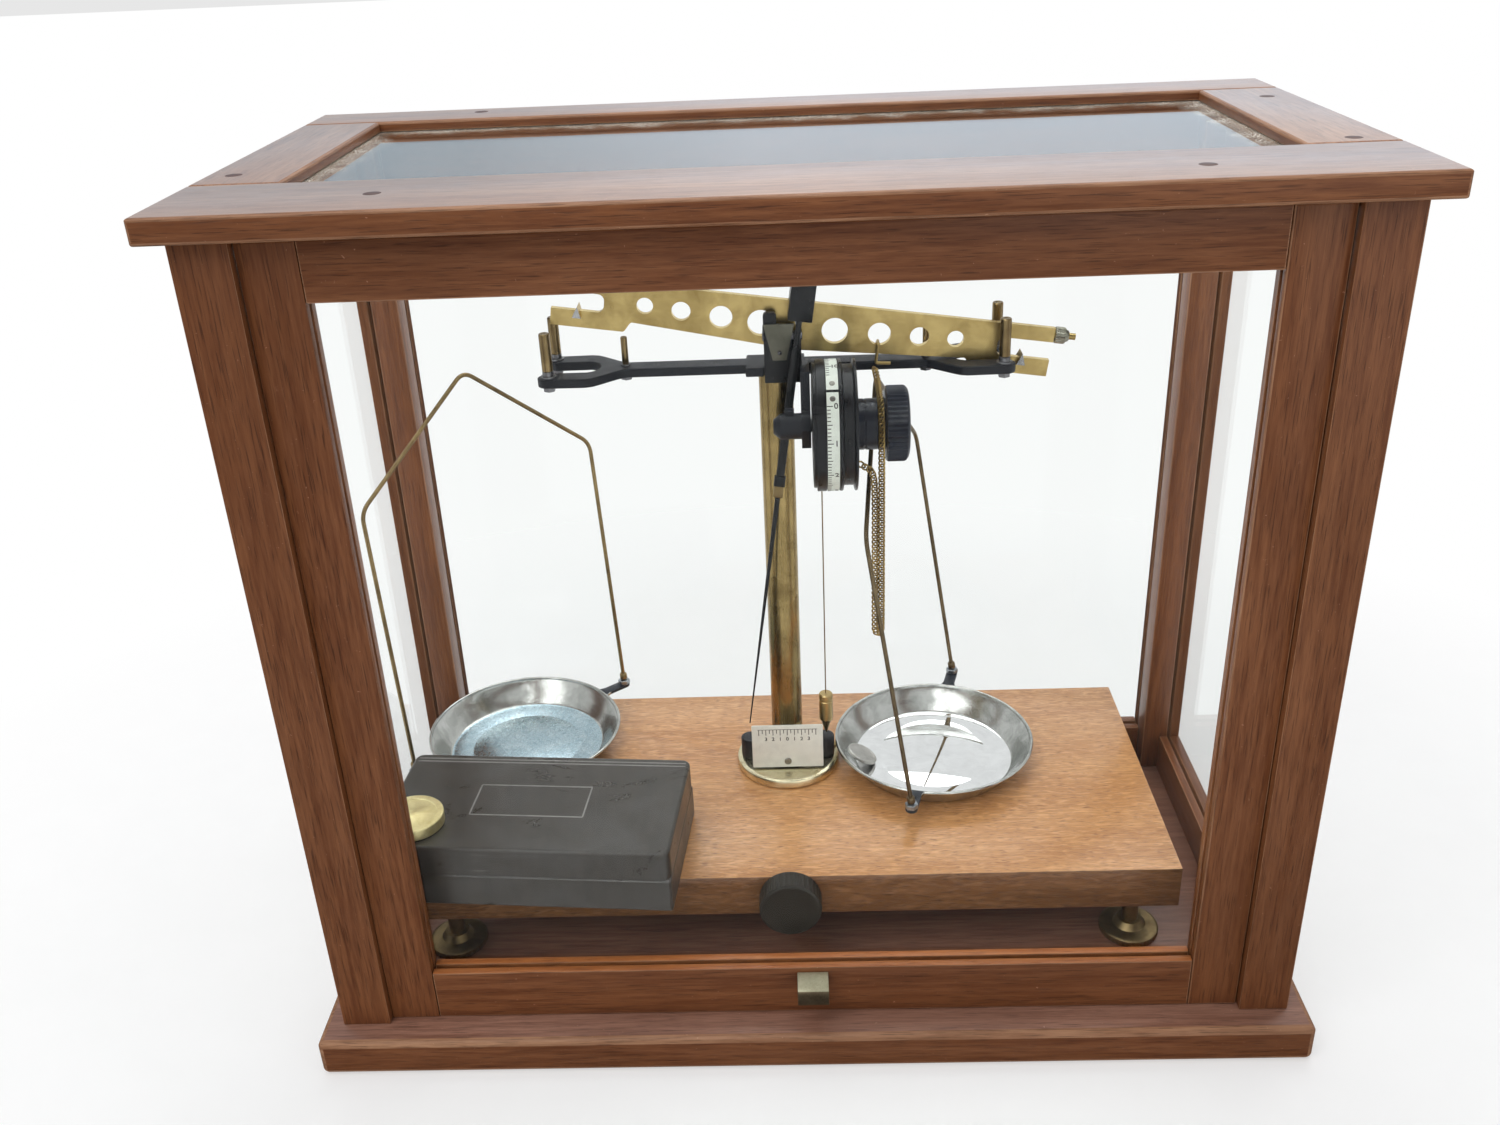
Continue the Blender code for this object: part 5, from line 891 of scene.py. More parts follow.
def scale_and_casting():
    """Black casting with a lobe each side, and the white plate with its graduations."""
    casting = from_solid("scale_bracket", "scale_casting", 0.0007, 3, 30)
    fit(casting, "scale_bracket", enamel("casting_enamel", (0.013, 0.013, 0.016), 0.4))
    half = (PLATE_RIGHT - PLATE_LEFT) / 2
    tall = PLATE_HIGH - PLATE_LOW
    corner = 0.0006
    outline = []
    for x, y, start in ((half, 0, -90), (half, tall, 0), (-half, tall, 90), (-half, 0, 180)):
        centre = (x - math.copysign(corner, x), y + (corner if y == 0 else -corner))
        outline += arc(centre, corner, start, start + 90, 3)
    card = plate("scale_plate_face", outline, 0.0010)
    ease(card, 0.00015, 2, 40)
    middle = (PLATE_LEFT + PLATE_RIGHT) / 2
    stand = Matrix(((1, 0, 0, middle), (0, 0, -1, PLATE_FRONT + 0.0010), (0, 1, 0, PLATE_LOW), (0, 0, 0, 1)))
    fit(smooth(put(card, stand)), "scale_plate", ivory_face("plate_celluloid", (0.76, 0.75, 0.68)))
    marks = []
    for index in range(-8, 9):
        length = 0.0034 if index % 2 == 0 else 0.0022
        x = middle + index * 0.0019
        if index % 2 == 0 and abs(index) < 8:
            figure = printed(str(abs(index) // 2), 0.0030)
            put(figure, Matrix(((1, 0, 0, x), (0, 0, -1, PLATE_FRONT), (0, 1, 0, PLATE_HIGH - 0.0084),
                                (0, 0, 0, 1))))
            marks.append(figure)
        marks.append(stroke((x, PLATE_FRONT, PLATE_HIGH - 0.0026 - length / 2), 0.00040, length))
    marks.append(stroke((middle, PLATE_FRONT, PLATE_HIGH - 0.0024), 0.0316, 0.00030))
    fit(joined("plate_graduations", marks), "scale_plate", ink(), replaces=False)
    screw = slotted_screw("plate_screw", 0.0019, 0.0009)
    put(screw, Matrix(((1, 0, 0, middle), (0, 0, -1, PLATE_FRONT), (0, 1, 0, 0.0822), (0, 0, 0, 1))))
    fit(screw, "scale_plate", metal("screw_steel", (0.16, 0.15, 0.13), (0.34, 0.32, 0.28), 0.34),
        replaces=False)


def printed(words, size):
    """A number as a thin mesh in XY."""
    let_go()
    bpy.ops.object.text_add(location=(0, 0, 0))
    figure = bpy.context.object
    figure.data.body = words
    figure.data.size = size
    figure.data.align_x = 'CENTER'
    figure.data.align_y = 'CENTER'
    figure.data.extrude = 0.00004
    figure.data.offset = 0.00008
    bpy.ops.object.convert(target='MESH')
    return bpy.context.object


def stroke(place, width, height):
    """A thin raised line of ink on an upright face."""
    return block((width, INK_RISE, height), place)


def plumb():
    """Turned bob on its line."""
    brass = metal("plumb_brass", (0.30, 0.21, 0.09), (0.52, 0.39, 0.18), 0.26, "Z")
    tip = 0.0906
    profile = [(0, tip), (0.0005, tip + 0.0008), (0.0029, tip + 0.0084), (0.0036, tip + 0.0091),
               (0.0037, tip + 0.0096), (0.0037, tip + 0.0205), (0.0035, tip + 0.0208),
               (0.0033, tip + 0.0209), (0.0033, tip + 0.0217), (0.0035, tip + 0.0218),
               (0.0037, tip + 0.0221), (0.0037, tip + 0.0243), (0.0032, tip + 0.0250), (0, tip + 0.0250)]
    bob = turned("plumb_bob_body", profile, 48)
    fit(smooth(put(bob, Matrix.Translation((0.0131, 0.0270, 0)))), "plumb_bob", brass)
    points = [(0.0131, 0.0270, 0.1159 + (0.2963 - 0.1159) * step / 24) for step in range(25)]
    line = smooth(drawn("plumb_line_wire", points, 0.00033, 2), 60)
    fit(line, "plumb_line", metal("line_brass", (0.15, 0.10, 0.05), (0.30, 0.21, 0.11), 0.4))


# Arm, yoke and beam

def arrest_arm(brass, black):
    """Casting of the arm with its six stops, each on a collar and a washer, and nuts beneath."""
    arm = from_solid("arrest_arm", "arrest_arm_casting")
    in_bar = 0.0001
    pick(arm, 'VERT', lambda co: co.z > ARM_TOP + in_bar or co.z < ARM_LOW - in_bar)
    bpy.ops.mesh.delete(type='VERT')
    bpy.ops.mesh.select_mode(type='EDGE')
    bpy.ops.mesh.select_all(action='DESELECT')
    bpy.ops.mesh.select_non_manifold(extend=False, use_wire=True, use_boundary=True,
                                     use_multi_face=False, use_non_contiguous=False, use_verts=False)
    bpy.ops.mesh.edge_face_add()
    bpy.ops.mesh.select_all(action='SELECT')
    bpy.ops.mesh.dissolve_limited(angle_limit=math.radians(1))
    bpy.ops.mesh.normals_make_consistent(inside=False)
    bpy.ops.object.mode_set(mode='OBJECT')
    for sign in (-1, 1):
        for start, wide, longer in ((0.0700, 1.0, 0.937), (0.0800, 0.93, 1.0), (0.0900, 0.925, 1.0)):
            pick(arm, 'VERT', lambda co: sign * (co.x - COLUMN_X) > start)
            bpy.ops.transform.resize(value=(longer, wide, 1),
                                     center_override=(COLUMN_X + sign * 0.0700, COLUMN_Y, ARM_LOW))
            bpy.ops.object.mode_set(mode='OBJECT')
    ease(arm, 0.0006, 2, 40)
    fit(smooth(arm), "arrest_arm", black)
    stops = []
    nuts = []
    for sign in (-1, 1):
        for x, y, radius, rise in STOPS:
            place = Matrix.Translation((COLUMN_X + sign * x, COLUMN_Y + y, ARM_TOP))
            foot = 0.0030 if radius > 0.002 else 0.0006
            profile = [(0, foot), (radius * 0.9, foot), (radius, foot + 0.0003), (radius, rise - 0.0005),
                       (radius * 0.86, rise), (radius * 0.4, rise), (radius * 0.36, rise - 0.0002),
                       (0, rise - 0.0002)]
            stops.append(put(turned("stop", profile, 32), place))
            wide = radius * 1.45
            profile = [(0, 0), (wide, 0), (wide, 0.0005), (wide * 0.95, 0.0007), (radius * 1.02, 0.0007),
                       (radius * 1.02, foot - 0.0002), (radius * 0.9, foot), (0, foot)]
            nuts.append(put(turned("stop_washer", profile, 32), place))
            nut = hex_nut("stop_nut", 0.0029, 0.0026, 0.0014)
            put(nut, Matrix.Translation((COLUMN_X + sign * x, COLUMN_Y + y, ARM_LOW))
                @ Matrix.Rotation(math.pi, 4, 'X'))
            nuts.append(nut)
    pins = joined("arrest_stops", stops)
    fit(smooth(pins), "arrest_arm", brass, replaces=False)
    fit(smooth(joined("arrest_stop_nuts", nuts)), "arrest_arm",
        metal("nut_steel", (0.07, 0.07, 0.08), (0.24, 0.24, 0.25), 0.34), replaces=False)


def yoke(black):
    """Black yoke with hard plates on its cheeks and a shield in front, its greenish-grey tone a painted
    sheen.
    """
    shield_sheen = metal("shield_painted_sheen", (0.070, 0.070, 0.052), (0.150, 0.145, 0.110), 0.3, None, 0.3, 0.3, 0.5)
    hard = metal("bearing_steel", (0.05, 0.05, 0.06), (0.16, 0.16, 0.17), 0.2)
    piece = from_solid("yoke", "yoke_casting", 0.0004, 2, 35)
    fit(piece, "yoke", [black, shield_sheen, hard])
    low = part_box("yoke")[0]
    # The shield's front faces take the greenish-grey: a painted sheen.
    paint(piece, 1, lambda c, n: c.y < low.y + 0.0006)
    paint(piece, 2, lambda c, n: c.y > low.y + 0.0012 and 0.3143 < c.z < 0.3180)
    outline = [(-0.0130, 0.3140), (-0.0068, 0.3140)]
    outline += arc((-0.0088, 0.3255), 0.0020, 0, 90, 5) + arc((-0.0110, 0.3255), 0.0020, 90, 180, 5)
    finger = plate("yoke_finger", outline, 0.0036)
    ease(finger, 0.0003, 2, 40)
    put(finger, Matrix.Translation((0, 0.0220, 0)) @ Matrix.Rotation(math.radians(90), 4, 'X'))
    fit(smooth(finger), "yoke", black, replaces=False)
    stud = turned("shield_stud", [(0, 0), (0.0011, 0), (0.0011, 0.0002), (0.0007, 0.0005), (0, 0.0006)], 20)
    put(stud, Matrix.Translation((-0.0056, low.y + 0.0001, 0.3085))
        @ Matrix.Rotation(math.radians(90), 4, 'X'))
    fit(smooth(stud), "yoke", hard, replaces=False)


def beam(brass):
    """Pierced beam; its right arm is drawn a little longer, and its knives are steel."""
    steel = metal("knife_steel", (0.20, 0.20, 0.20), (0.42, 0.42, 0.42), 0.2)
    piece = from_solid("beam", "beam_plate")
    put(piece, BEAM_AXES.inverted())
    for start, further in ((0.0265, 0.0023), (0.0850, 0.0008)):
        pick(piece, 'VERT', lambda co: co.x > start)
        bpy.ops.transform.translate(value=(further, 0, 0))
        bpy.ops.object.mode_set(mode='OBJECT')
    pick(piece, 'VERT', lambda co: co.x > 0.1160 and co.z < 0)
    bpy.ops.transform.translate(value=(0.0011, 0, 0))
    bpy.ops.object.mode_set(mode='OBJECT')
    ease(piece, 0.00025, 2, 40)
    # Brighter brass for the beam's upward faces and the upward faces inside its holes: a painted highlight
    # and painted glints.
    bright = metal("beam_painted_highlight_brass", (0.62, 0.45, 0.16), (0.86, 0.68, 0.30), 0.16, "X", 0.2, 0.2)
    smooth(piece)
    marks = []
    for face in piece.data.polygons:
        c, n = face.center, face.normal
        in_hole = any(math.hypot(c.x - x, c.z - z) < radius * 1.15 for x, z, radius in BEAM_HOLES)
        end_knife = abs(c.y) > 0.0019 and 0.095 < abs(c.x) < 0.112
        marks.append(1 if end_knife else 2 if n.z > 0.9 or n.z > 0.35 and in_hole else 0)
    put(piece, BEAM_AXES)
    fit(piece, "beam", [brass, steel, bright])
    for face, mark in zip(piece.data.polygons, marks):
        face.material_index = mark
    knife = from_solid("middle_knife", "middle_knife_prism", 0.0002, 2, 40)
    fit(knife, "middle_knife", steel)
    for number, (x, z) in enumerate(((-0.0870, 0.0005), (0.0890, -0.0060))):
        dot = slotted_screw("beam_screw_" + str(number), 0.0009, 0.0003)
        put(dot, BEAM_AXES @ Matrix.Translation((x, -0.0016, z)) @ Matrix.Rotation(math.radians(90), 4, 'X'))
        fit(dot, "beam", brass, replaces=False)
    dull = metal("beam_nut_nickel", (0.16, 0.16, 0.12), (0.36, 0.35, 0.29), 0.3)
    for node, sign in (("left_beam_nut", -1), ("right_beam_nut", 1)):
        profile = [(0.0019, 0), (0.0036, 0), (0.0039, 0.0003), (0.0039, 0.0045), (0.0035, 0.0049),
                   (0.0030, 0.0050), (0.0026, 0.0062), (0.0022, 0.0065), (0.0019, 0.0065), (0.0019, 0)]
        sides = 48
        nut = turned(node + "_knurled", profile, sides)
        knurl(nut, 0.0002, 0.0047, 0.0039, 0.0002, sides)
        if sign < 0:
            put(nut, Matrix.Rotation(math.pi, 4, 'X'))
        start = 0.1171 if sign < 0 else 0.1202
        put(nut, BEAM_AXES @ Matrix.Translation((sign * start, 0, 0.0096)) @ LAY["X"])
        fit(smooth(nut, 28), node, dull)


def pointer(black, brass):
    """Block over the beam and the long tapering needle with its two collars."""
    outline = [(-0.0107, 0.0058), (-0.0019, 0.0058), (-0.0019, 0.0133), (0.0019, 0.0133),
               (0.0019, 0.0058), (0.0075, 0.0058), (0.0075, 0.0250), (-0.0107, 0.0250)]
    block = plate("pointer_block", [(y, z) for y, z in outline], 0.0115)
    ease(block, 0.0005, 2, 40)
    put(block, BEAM_AXES @ Matrix.Translation((-0.0055, 0, 0)) @ LAY["X"])
    smooth(block)
    side = [(0.0013, 0.0078), (0.0013, -0.0040), (0.0020, -0.0140), (0.0020, -0.0700), (0.0012, -0.0850),
            (0.0003, -0.2150)]
    outline = side + [(-x, z) for x, z in reversed(side)]
    needle = plate("pointer_needle", outline, 0.0014)
    ease(needle, 0.00025, 2, 40)
    put(needle, BEAM_AXES @ Matrix.Translation((0, -0.0090, 0)) @ Matrix.Rotation(math.radians(90), 4, 'X'))
    smooth(needle)
    hanger = joined("pointer_arm", [block, needle])
    fit(hanger, "pointer", black)
    grip = collar("pointer_collar_black", 0.0054, 0.0026, 0.0720, 0.0770)
    fit(grip, "pointer", black, replaces=False)
    grip = collar("pointer_collar_brass", 0.0046, 0.0024, 0.0772, 0.0828)
    fit(grip, "pointer", brass, replaces=False)


def collar(name, width, depth, high, low):
    """Small block clamped round the needle."""
    block((width, depth, low - high), (0, -0.0097, -(high + low) / 2))
    piece = called(name)
    pick(piece, 'FACE', lambda centre, normal: abs(normal.z) > 0.9)
    bpy.ops.mesh.inset(thickness=0.0006, depth=0.0004)
    bpy.ops.object.mode_set(mode='OBJECT')
    ease(piece, 0.0002, 2, 30)
    return smooth(put(piece, BEAM_AXES))


def chain_hook(brass):
    """Wire bent through the beam's second right hole, from which the chain hangs."""
    seat = 0.0015 - 0.0054 + 0.0008 + 0.0003
    off = 0.0016 + 0.0008 + 0.0003
    hole = 0.0385
    corners = [(hole, off, seat - 0.0040), (hole, off, seat), (hole, -0.0034, seat),
               (hole, -0.0034, -0.0120), (hole + 0.0070, -0.0034, -0.0114)]
    wire = drawn("chain_hook_wire", bent(corners, 0.0012, 8), 0.00075, 4)
    fit(smooth(put(wire, BEAM_AXES), 60), "chain_hook", brass)


def route():
    """Points of the chain's way, from the hook over the hub, down and back to the drum."""
    head = BEAM_AXES @ Vector((0.0366, 0, -0.0120))
    right, left, front, low = 0.0396, 0.0365, -0.0195, 0.1777
    wrap = 0.0135
    loop = (right - left) / 2
    guide = [Vector((right - 0.0006, 0.0255 - 0.0064, head.z - 0.0026)),
             Vector((right, DRUM_Y + 0.0140, DRUM_Z + wrap + 0.0012))]
    for angle in (90, 115, 140, 165, 180):
        turn = math.radians(angle)
        guide.append(Vector((right, DRUM_Y + wrap * math.cos(turn), DRUM_Z + wrap * math.sin(turn))))
    for x, z in ((right, DRUM_Z - 0.0300), (right, DRUM_Z - 0.0650), (right, low + 0.0060),
                 (right - 0.0003, low + loop), (right - loop, low), (left + 0.0003, low + loop),
                 (left, low + 0.0060), (left, DRUM_Z - 0.0650), (left, DRUM_Z - 0.0320)):
        guide.append(Vector((x, front, z)))
    guide += [Vector((left - 0.0012, front - 0.0002, DRUM_Z - 0.0190)),
              Vector((0.0303, front - 0.0004, DRUM_Z - 0.0145))]
    ends = [guide[0] * 2 - guide[1]] + guide + [guide[-1] * 2 - guide[-2]]
    points = []
    for a, b, c, d in zip(ends, ends[1:], ends[2:], ends[3:]):
        for step in range(24):
            t = step / 24
            points.append(0.5 * ((2 * b) + (c - a) * t + (2 * a - 5 * b + 4 * c - d) * t * t
                                 + (3 * b - a - 3 * c + d) * t ** 3))
    points.append(guide[-1])
    return points


def chain():
    """Curb chain: one twisted link, copied along the way."""
    pitch = 0.00245
    rim = []
    for step in range(13):
        turn = math.tau * step / 12
        rim.append((0.00195 * math.cos(turn), 0.00125 * math.sin(turn), 0.00060 * math.sin(2 * turn)))
    link = drawn("chain_link", rim, 0.00045, 1)
    bpy.ops.object.mode_set(mode='EDIT')
    bpy.ops.mesh.select_all(action='SELECT')
    bpy.ops.mesh.remove_doubles(threshold=0.0001)
    bpy.ops.mesh.normals_make_consistent(inside=False)
    bpy.ops.object.mode_set(mode='OBJECT')
    points = route()
    links = []
    walked = 0.0
    due = 0.0
    for here, there in zip(points, points[1:]):
        span = (there - here).length
        while due <= walked + span:
            along = (there - here).normalized()
            middle = here + along * (due - walked)
            face = Vector((0, -1, 0)) - along * along.dot(Vector((0, -1, 0)))
            if face.length < 0.3:
                face = Vector((0, 0, 1)) - along * along.z
            face.normalize()
            across = face.cross(along)
            turn = Matrix((along, across, face)).transposed().to_4x4()
            copy = twin(link, "chain_link_" + str(len(links)))
            copy.matrix_world = Matrix.Translation(middle) @ turn
            links.append(copy)
            due += pitch
        walked += span
    bpy.data.objects.remove(link, do_unlink=True)
    take(*links)
    bpy.ops.object.transform_apply(location=True, rotation=True, scale=True)
    whole = joined("weighing_chain", links)
    fit(smooth(whole, 60), "chain", metal("chain_brass", (0.16, 0.10, 0.035), (0.46, 0.33, 0.13), 0.3))


# Drum

def drum(black):
    """Grooved drum with its stepped left rim."""
    edge = 0.0016
    radius = DRUM_RADIUS
    profile = [(0.0033, 0), (0.0120, 0), (0.0122, 0.0003), (0.0262, 0.0003), (0.0266, 0),
               (radius - edge - 0.0003, 0), (radius - edge, 0.0003), (radius - edge, edge),
               (radius - 0.0002, edge), (radius, edge + 0.0002), (radius, 0.0056), (radius - 0.0002, 0.0058),
               (radius - 0.0008, 0.0058), (radius - 0.0008, 0.0118), (radius - 0.0002, 0.0118),
               (radius, 0.0120), (radius, 0.0131), (radius - 0.0003, 0.0134), (radius - 0.0025, 0.0139),
               (radius - 0.0025, 0.0182), (radius - 0.0003, 0.0187), (radius, 0.0189),
               (radius, 0.0197), (radius - 0.0003, 0.0200), (0.0250, 0.0200), (0.0248, 0.0196),
               (0.0140, 0.0196), (0.0138, 0.0200), (0.0033, 0.0200), (0.0033, 0)]
    wheel = turned("drum_wheel", profile, 120)
    fit(smooth(lay(wheel, "X", (DRUM_LEFT, DRUM_Y, DRUM_Z)), 30), "drum", black)


def on_drum(radius, angle):
    """(y, z) of a point on the drum; 0 is the front, and angles rise from there."""
    turn = math.radians(angle)
    return DRUM_Y - radius * math.cos(turn), DRUM_Z + radius * math.sin(turn)


def tape():
    """White tape with its ends at a seam, held by a screw at each end."""
    inner, outer = 0.0298, DRUM_RADIUS
    seam, half_gap = 50.5, 1.35
    start, sweep = seam + half_gap, 360 - 2 * half_gap
    steps = 120
    outline = []
    for radius, order in ((outer, range(steps + 1)), (inner, range(steps, -1, -1))):
        for step in order:
            outline.append(on_drum(radius, start + sweep * step / steps))
    band = plate("drum_tape", outline, 0.0054)
    ease(band, 0.0001, 1, 40)
    put(band, Matrix.Translation((0.0147, 0, 0)) @ LAY["X"])
    fit(smooth(band, 30), "scale_tape", ivory_face("tape_celluloid", (0.78, 0.83, 0.75)))
    dark = ink()
    marks = []
    unit = 31.6
    zero = 36.4
    for count in range(105):
        angle = zero - count * unit / 10
        length = 0.0026 if count % 10 == 0 else 0.0022 if count % 5 == 0 else 0.0016
        marks.append(tape_stroke(0.0148 + length / 2, length, angle))
    fit(joined("tape_graduations", marks), "scale_tape", dark, replaces=False)
    figures = [tape_figure(str(number), zero - number * unit) for number in range(11)]
    fit(joined("tape_figures", figures), "scale_tape", dark, replaces=False)
    steel = metal("tape_screw_steel", (0.10, 0.10, 0.09), (0.26, 0.25, 0.22), 0.35)
    screws = []
    for angle in (seam + 7.5, seam - 7.5):
        y, z = on_drum(outer - 0.0001, angle)
        screw = slotted_screw("tape_screw", 0.0013, 0.0003)
        put(screw, Matrix.Translation((0.0174, y, z)) @ Matrix.Rotation(math.radians(90 - angle), 4, 'X'))
        screws.append(screw)
    fit(joined("tape_screws", screws), "scale_tape", steel, replaces=False)


def tape_stroke(x, length, angle):
    """One graduation across the tape."""
    y, z = on_drum(DRUM_RADIUS, angle)
    mark = block((length, INK_RISE, 0.00042))
    return put(mark, Matrix.Translation((x, y, z)) @ Matrix.Rotation(math.radians(-angle), 4, 'X'))


def tape_figure(words, angle):
    """A number laid on the tape."""
    figure = printed(words, 0.0036)
    y, z = on_drum(DRUM_RADIUS, angle)
    turn = Matrix.Rotation(math.radians(-angle), 4, 'X') @ Matrix.Rotation(math.radians(90), 4, 'X')
    return put(figure, Matrix.Translation((0.0188, y, z)) @ turn)


def index_arrow(black):
    """Thin strip on the bracket, turned over the drum's rim to point at the tape."""
    y0, z0 = -0.0120, 0.2840
    y1, z1 = on_drum(0.0312, 33)
    length = math.hypot(y1 - y0, z1 - z0)
    half = 0.0016
    strip = plate("index_strip", [(0, -half), (length, -half), (length, half), (0, half)], 0.0004)
    pick(strip, 'FACE', lambda centre, normal: normal.x > 0.9)
    bpy.ops.mesh.extrude_region_move(TRANSFORM_OT_translate={"value": (0.0004, 0, 0)})
    bpy.ops.object.mode_set(mode='OBJECT')
    pick(strip, 'FACE', lambda centre, normal: normal.z > 0.9 and centre.x > length)
    bpy.ops.mesh.extrude_region_move(TRANSFORM_OT_translate={"value": (0, 0, 0.0030)})
    bpy.ops.mesh.extrude_region_move(TRANSFORM_OT_translate={"value": (0, 0, 0.0030)})
    bpy.ops.transform.resize(value=(1, 0.08, 1), center_override=(0, 0, 0))
    bpy.ops.object.mode_set(mode='OBJECT')
    ease(strip, 0.0001, 1, 40)
    aim = math.atan2(z1 - z0, y1 - y0)
    put(strip, Matrix.Translation((0.0080, y0, z0)) @ Matrix.Rotation(aim, 4, 'X') @ LAY["X"])
    fit(smooth(strip), "drum_bracket", black, replaces=False)


def drum_knob(black):
    """Hub and knurled knob on the drum's spindle."""
    left = -0.0123
    hub = 0.0203
    grip = 0.0332
    high = 0.0440
    spindle = [(0, left), (0.0028, left), (0.0030, left + 0.0002), (0.0030, hub), (0.0114, hub),
               (0.0118, hub + 0.0004), (0.0118, hub + 0.0030), (0.0116, hub + 0.0032),
               (0.0116, hub + 0.0038), (0.0118, hub + 0.0040), (0.0118, grip),
               (0.0118, grip + 0.0002), (0, grip + 0.0002)]
    core = turned("hub", spindle, 72)
    sides = 96
    rim = [(0, grip + 0.0001), (0.0160, grip + 0.0001), (0.0170, grip + 0.0005), (0.0175, grip + 0.0012),
           (0.0175, high - 0.0022), (0.0170, high - 0.0013), (0.0160, high - 0.0004), (0.0146, high),
           (0.0140, high - 0.0001), (0.0090, high + 0.0003), (0, high + 0.0004)]
    head = turned("grip", rim, sides)
    knurl(head, grip + 0.0008, high - 0.0018, 0.0175, 0.0008, sides)
    knob = joined("drum_knob_turned", [smooth(core), smooth(head, 26)])
    fit(lay(knob, "X", (DRUM_LEFT, DRUM_Y, DRUM_Z)), "drum_knob", black)


def drum_bracket(black):
    piece = from_solid("drum_bracket", "drum_bracket_casting", 0.0005, 2, 35)
    fit(piece, "drum_bracket", black)


# Pans and weights

def pan(side, place):
    """Spun dish with a rolled rim, and a lug and nut each side."""
    x, y, turn = place[:3]
    node = side + "_pan"
    wall = [(0.0415, 0.0000), (0.0430, 0.0004), (0.0439, 0.0014), (0.0478, 0.0066), (0.0516, 0.0117)]
    bead = arc((0.0526, 0.0129), 0.0009, -125, 205, 14)
    inside = [(0.0510, 0.0119), (0.0470, 0.0067), (0.0431, 0.0019), (0.0422, 0.0011), (0.0408, 0.0009),
              (0.0310, 0.0009), (0.0306, 0.00075), (0.0300, 0.00075), (0.0296, 0.0009), (0, 0.0009)]
    dish = turned("dish", [(0, 0)] + wall + bead + inside, 128)
    pieces = [smooth(dish, 40)]
    for sign in (-1, 1):
        half = 0.0031
        tab = [(sign * u, v) for u, v in ((0.0524, -0.0042), (0.0560, -half), (LUG_REACH, -half))]
        for step in range(15, 180, 15):
            a = math.radians(step)
            tab.append((sign * (LUG_REACH + half * math.sin(a)), -half * math.cos(a)))
        tab += [(sign * u, v) for u, v in ((LUG_REACH, half), (0.0560, half), (0.0524, 0.0042))]
        lug = ease(plate("lug", tab, LUG_THICKNESS), 0.0002, 2, 40)
        put(lug, Matrix.Translation((0, 0, LUG_LOW)))
        nut = hex_nut("lug_nut", 0.0034, 0.0026, 0.0012)
        put(nut, Matrix.Translation((sign * LUG_REACH, 0, LUG_LOW + LUG_THICKNESS)))
        profile = [(0, 0.0118), (0.0016, 0.0118), (0.0018, 0.0121), (0.0018, 0.0123), (0, 0.0123)]
        stud = turned("stud", profile, 16)
        put(stud, Matrix.Translation((sign * LUG_REACH, 0, 0)))
        pieces += [smooth(lug), nut, stud]
    whole = joined(node + "_dish", pieces)
    put(whole, Matrix.Translation((x, y, SEAT)) @ Matrix.Rotation(turn, 4, 'Z'))
    nickel = turned_metal(side + "_pan_wall_nickel", (x, y, 0), "Z", (0.36, 0.37, 0.35),
                          (0.56, 0.57, 0.55), 0.16)
    iron = enamel(side + "_lug_black", (0.014, 0.018, 0.026), 0.34, (0.22, 0.23, 0.25))
    steel = metal(side + "_lug_steel", (0.16, 0.18, 0.20), (0.38, 0.41, 0.44), 0.28)
    fit(whole, node, [nickel, iron, dish_floor(side, x, y), steel])
    past_rim, floor_edge = 0.0545, 0.0420
    above_lug = SEAT + LUG_LOW + LUG_THICKNESS + 0.00005
    paint(whole, 1, lambda c, n: math.hypot(c.x - x, c.y - y) > past_rim)
    paint(whole, 3, lambda c, n: c.z > above_lug and math.hypot(c.x - x, c.y - y) > past_rim)
    paint(whole, 2, lambda c, n: math.hypot(c.x - x, c.y - y) < floor_edge and n.z > 0.3)


def dish_floor(side, x, y):
    """The right pan is bright, and the left one dulled by fine scratches, its bluish tones a painted
    reflection.
    """
    if side == "right":
        return turned_metal("right_pan_floor_nickel", (x, y, 0), "Z", (0.84, 0.85, 0.86),
                            (0.95, 0.96, 0.97), 0.02)
    f = Finish("left_pan_floor_painted_reflection")
    speck = f.cloud(f.here, 520.0, 8.0, 0.8, 0.6)
    bluish_reflection = f.cloud(f.here, 120.0, 6.0, 0.7, 0.5)
    lines = f.scratches((0.2, 0.1, 0.8), 380.0, 0.72, 0.02)
    cross = f.scratches((0.1, 0.3, -0.6), 340.0, 0.72, 0.02)
    # Bluish tones in the nickel: a painted reflection.
    tone = f.ramp(speck, (0.38, (0.26, 0.37, 0.43)), (0.60, (0.50, 0.62, 0.68)))
    tone = f.mix(f.ramp(bluish_reflection, (0.45, 0.0), (0.7, 0.5)), tone, (0.60, 0.69, 0.73))
    f.set(Base_Color=tone,
          Roughness=f.ramp(speck, (0.35, 0.34), (0.7, 0.18)),
          Normal=f.rise(f.sum('ADD', f.sum('MULTIPLY', speck, 0.6), f.sum('ADD', lines, cross)),
                        0.25, 0.00008), Metallic=1.0)
    return f.material


def stirrup(side, place, finish):
    """Bent wire frame with a ferrule on each foot, leaning in the pan's lugs."""
    x, y, turn, lean = place
    corners = [(-LUG_REACH, 0, 0.0005), (-0.0669, 0, 0.1465), (0, 0, 0.2025), (0.0669, 0, 0.1465),
               (LUG_REACH, 0, 0.0005)]
    wire = drawn("frame_wire", bent(corners, 0.0060, 12), 0.0011, 5)
    pieces = [smooth(wire, 60)]
    for sign in (-1, 1):
        ferrule = turned("ferrule", [(0, 0.0006), (0.0019, 0.0006), (0.0021, 0.0010), (0.0021, 0.0034),
                                     (0.0018, 0.0040), (0.0011, 0.0042), (0, 0.0042)], 20)
        put(ferrule, Matrix.Translation((sign * LUG_REACH, 0, 0)))
        pieces.append(smooth(ferrule))
    whole = joined(side + "_stirrup_wire", pieces)
    put(whole, Matrix.Translation((x, y, SEAT)) @ Matrix.Rotation(turn, 4, 'Z')
        @ Matrix.Translation((0, 0, 0.0164)) @ Matrix.Rotation(-lean, 4, 'X'))
    fit(whole, side + "_stirrup", finish)


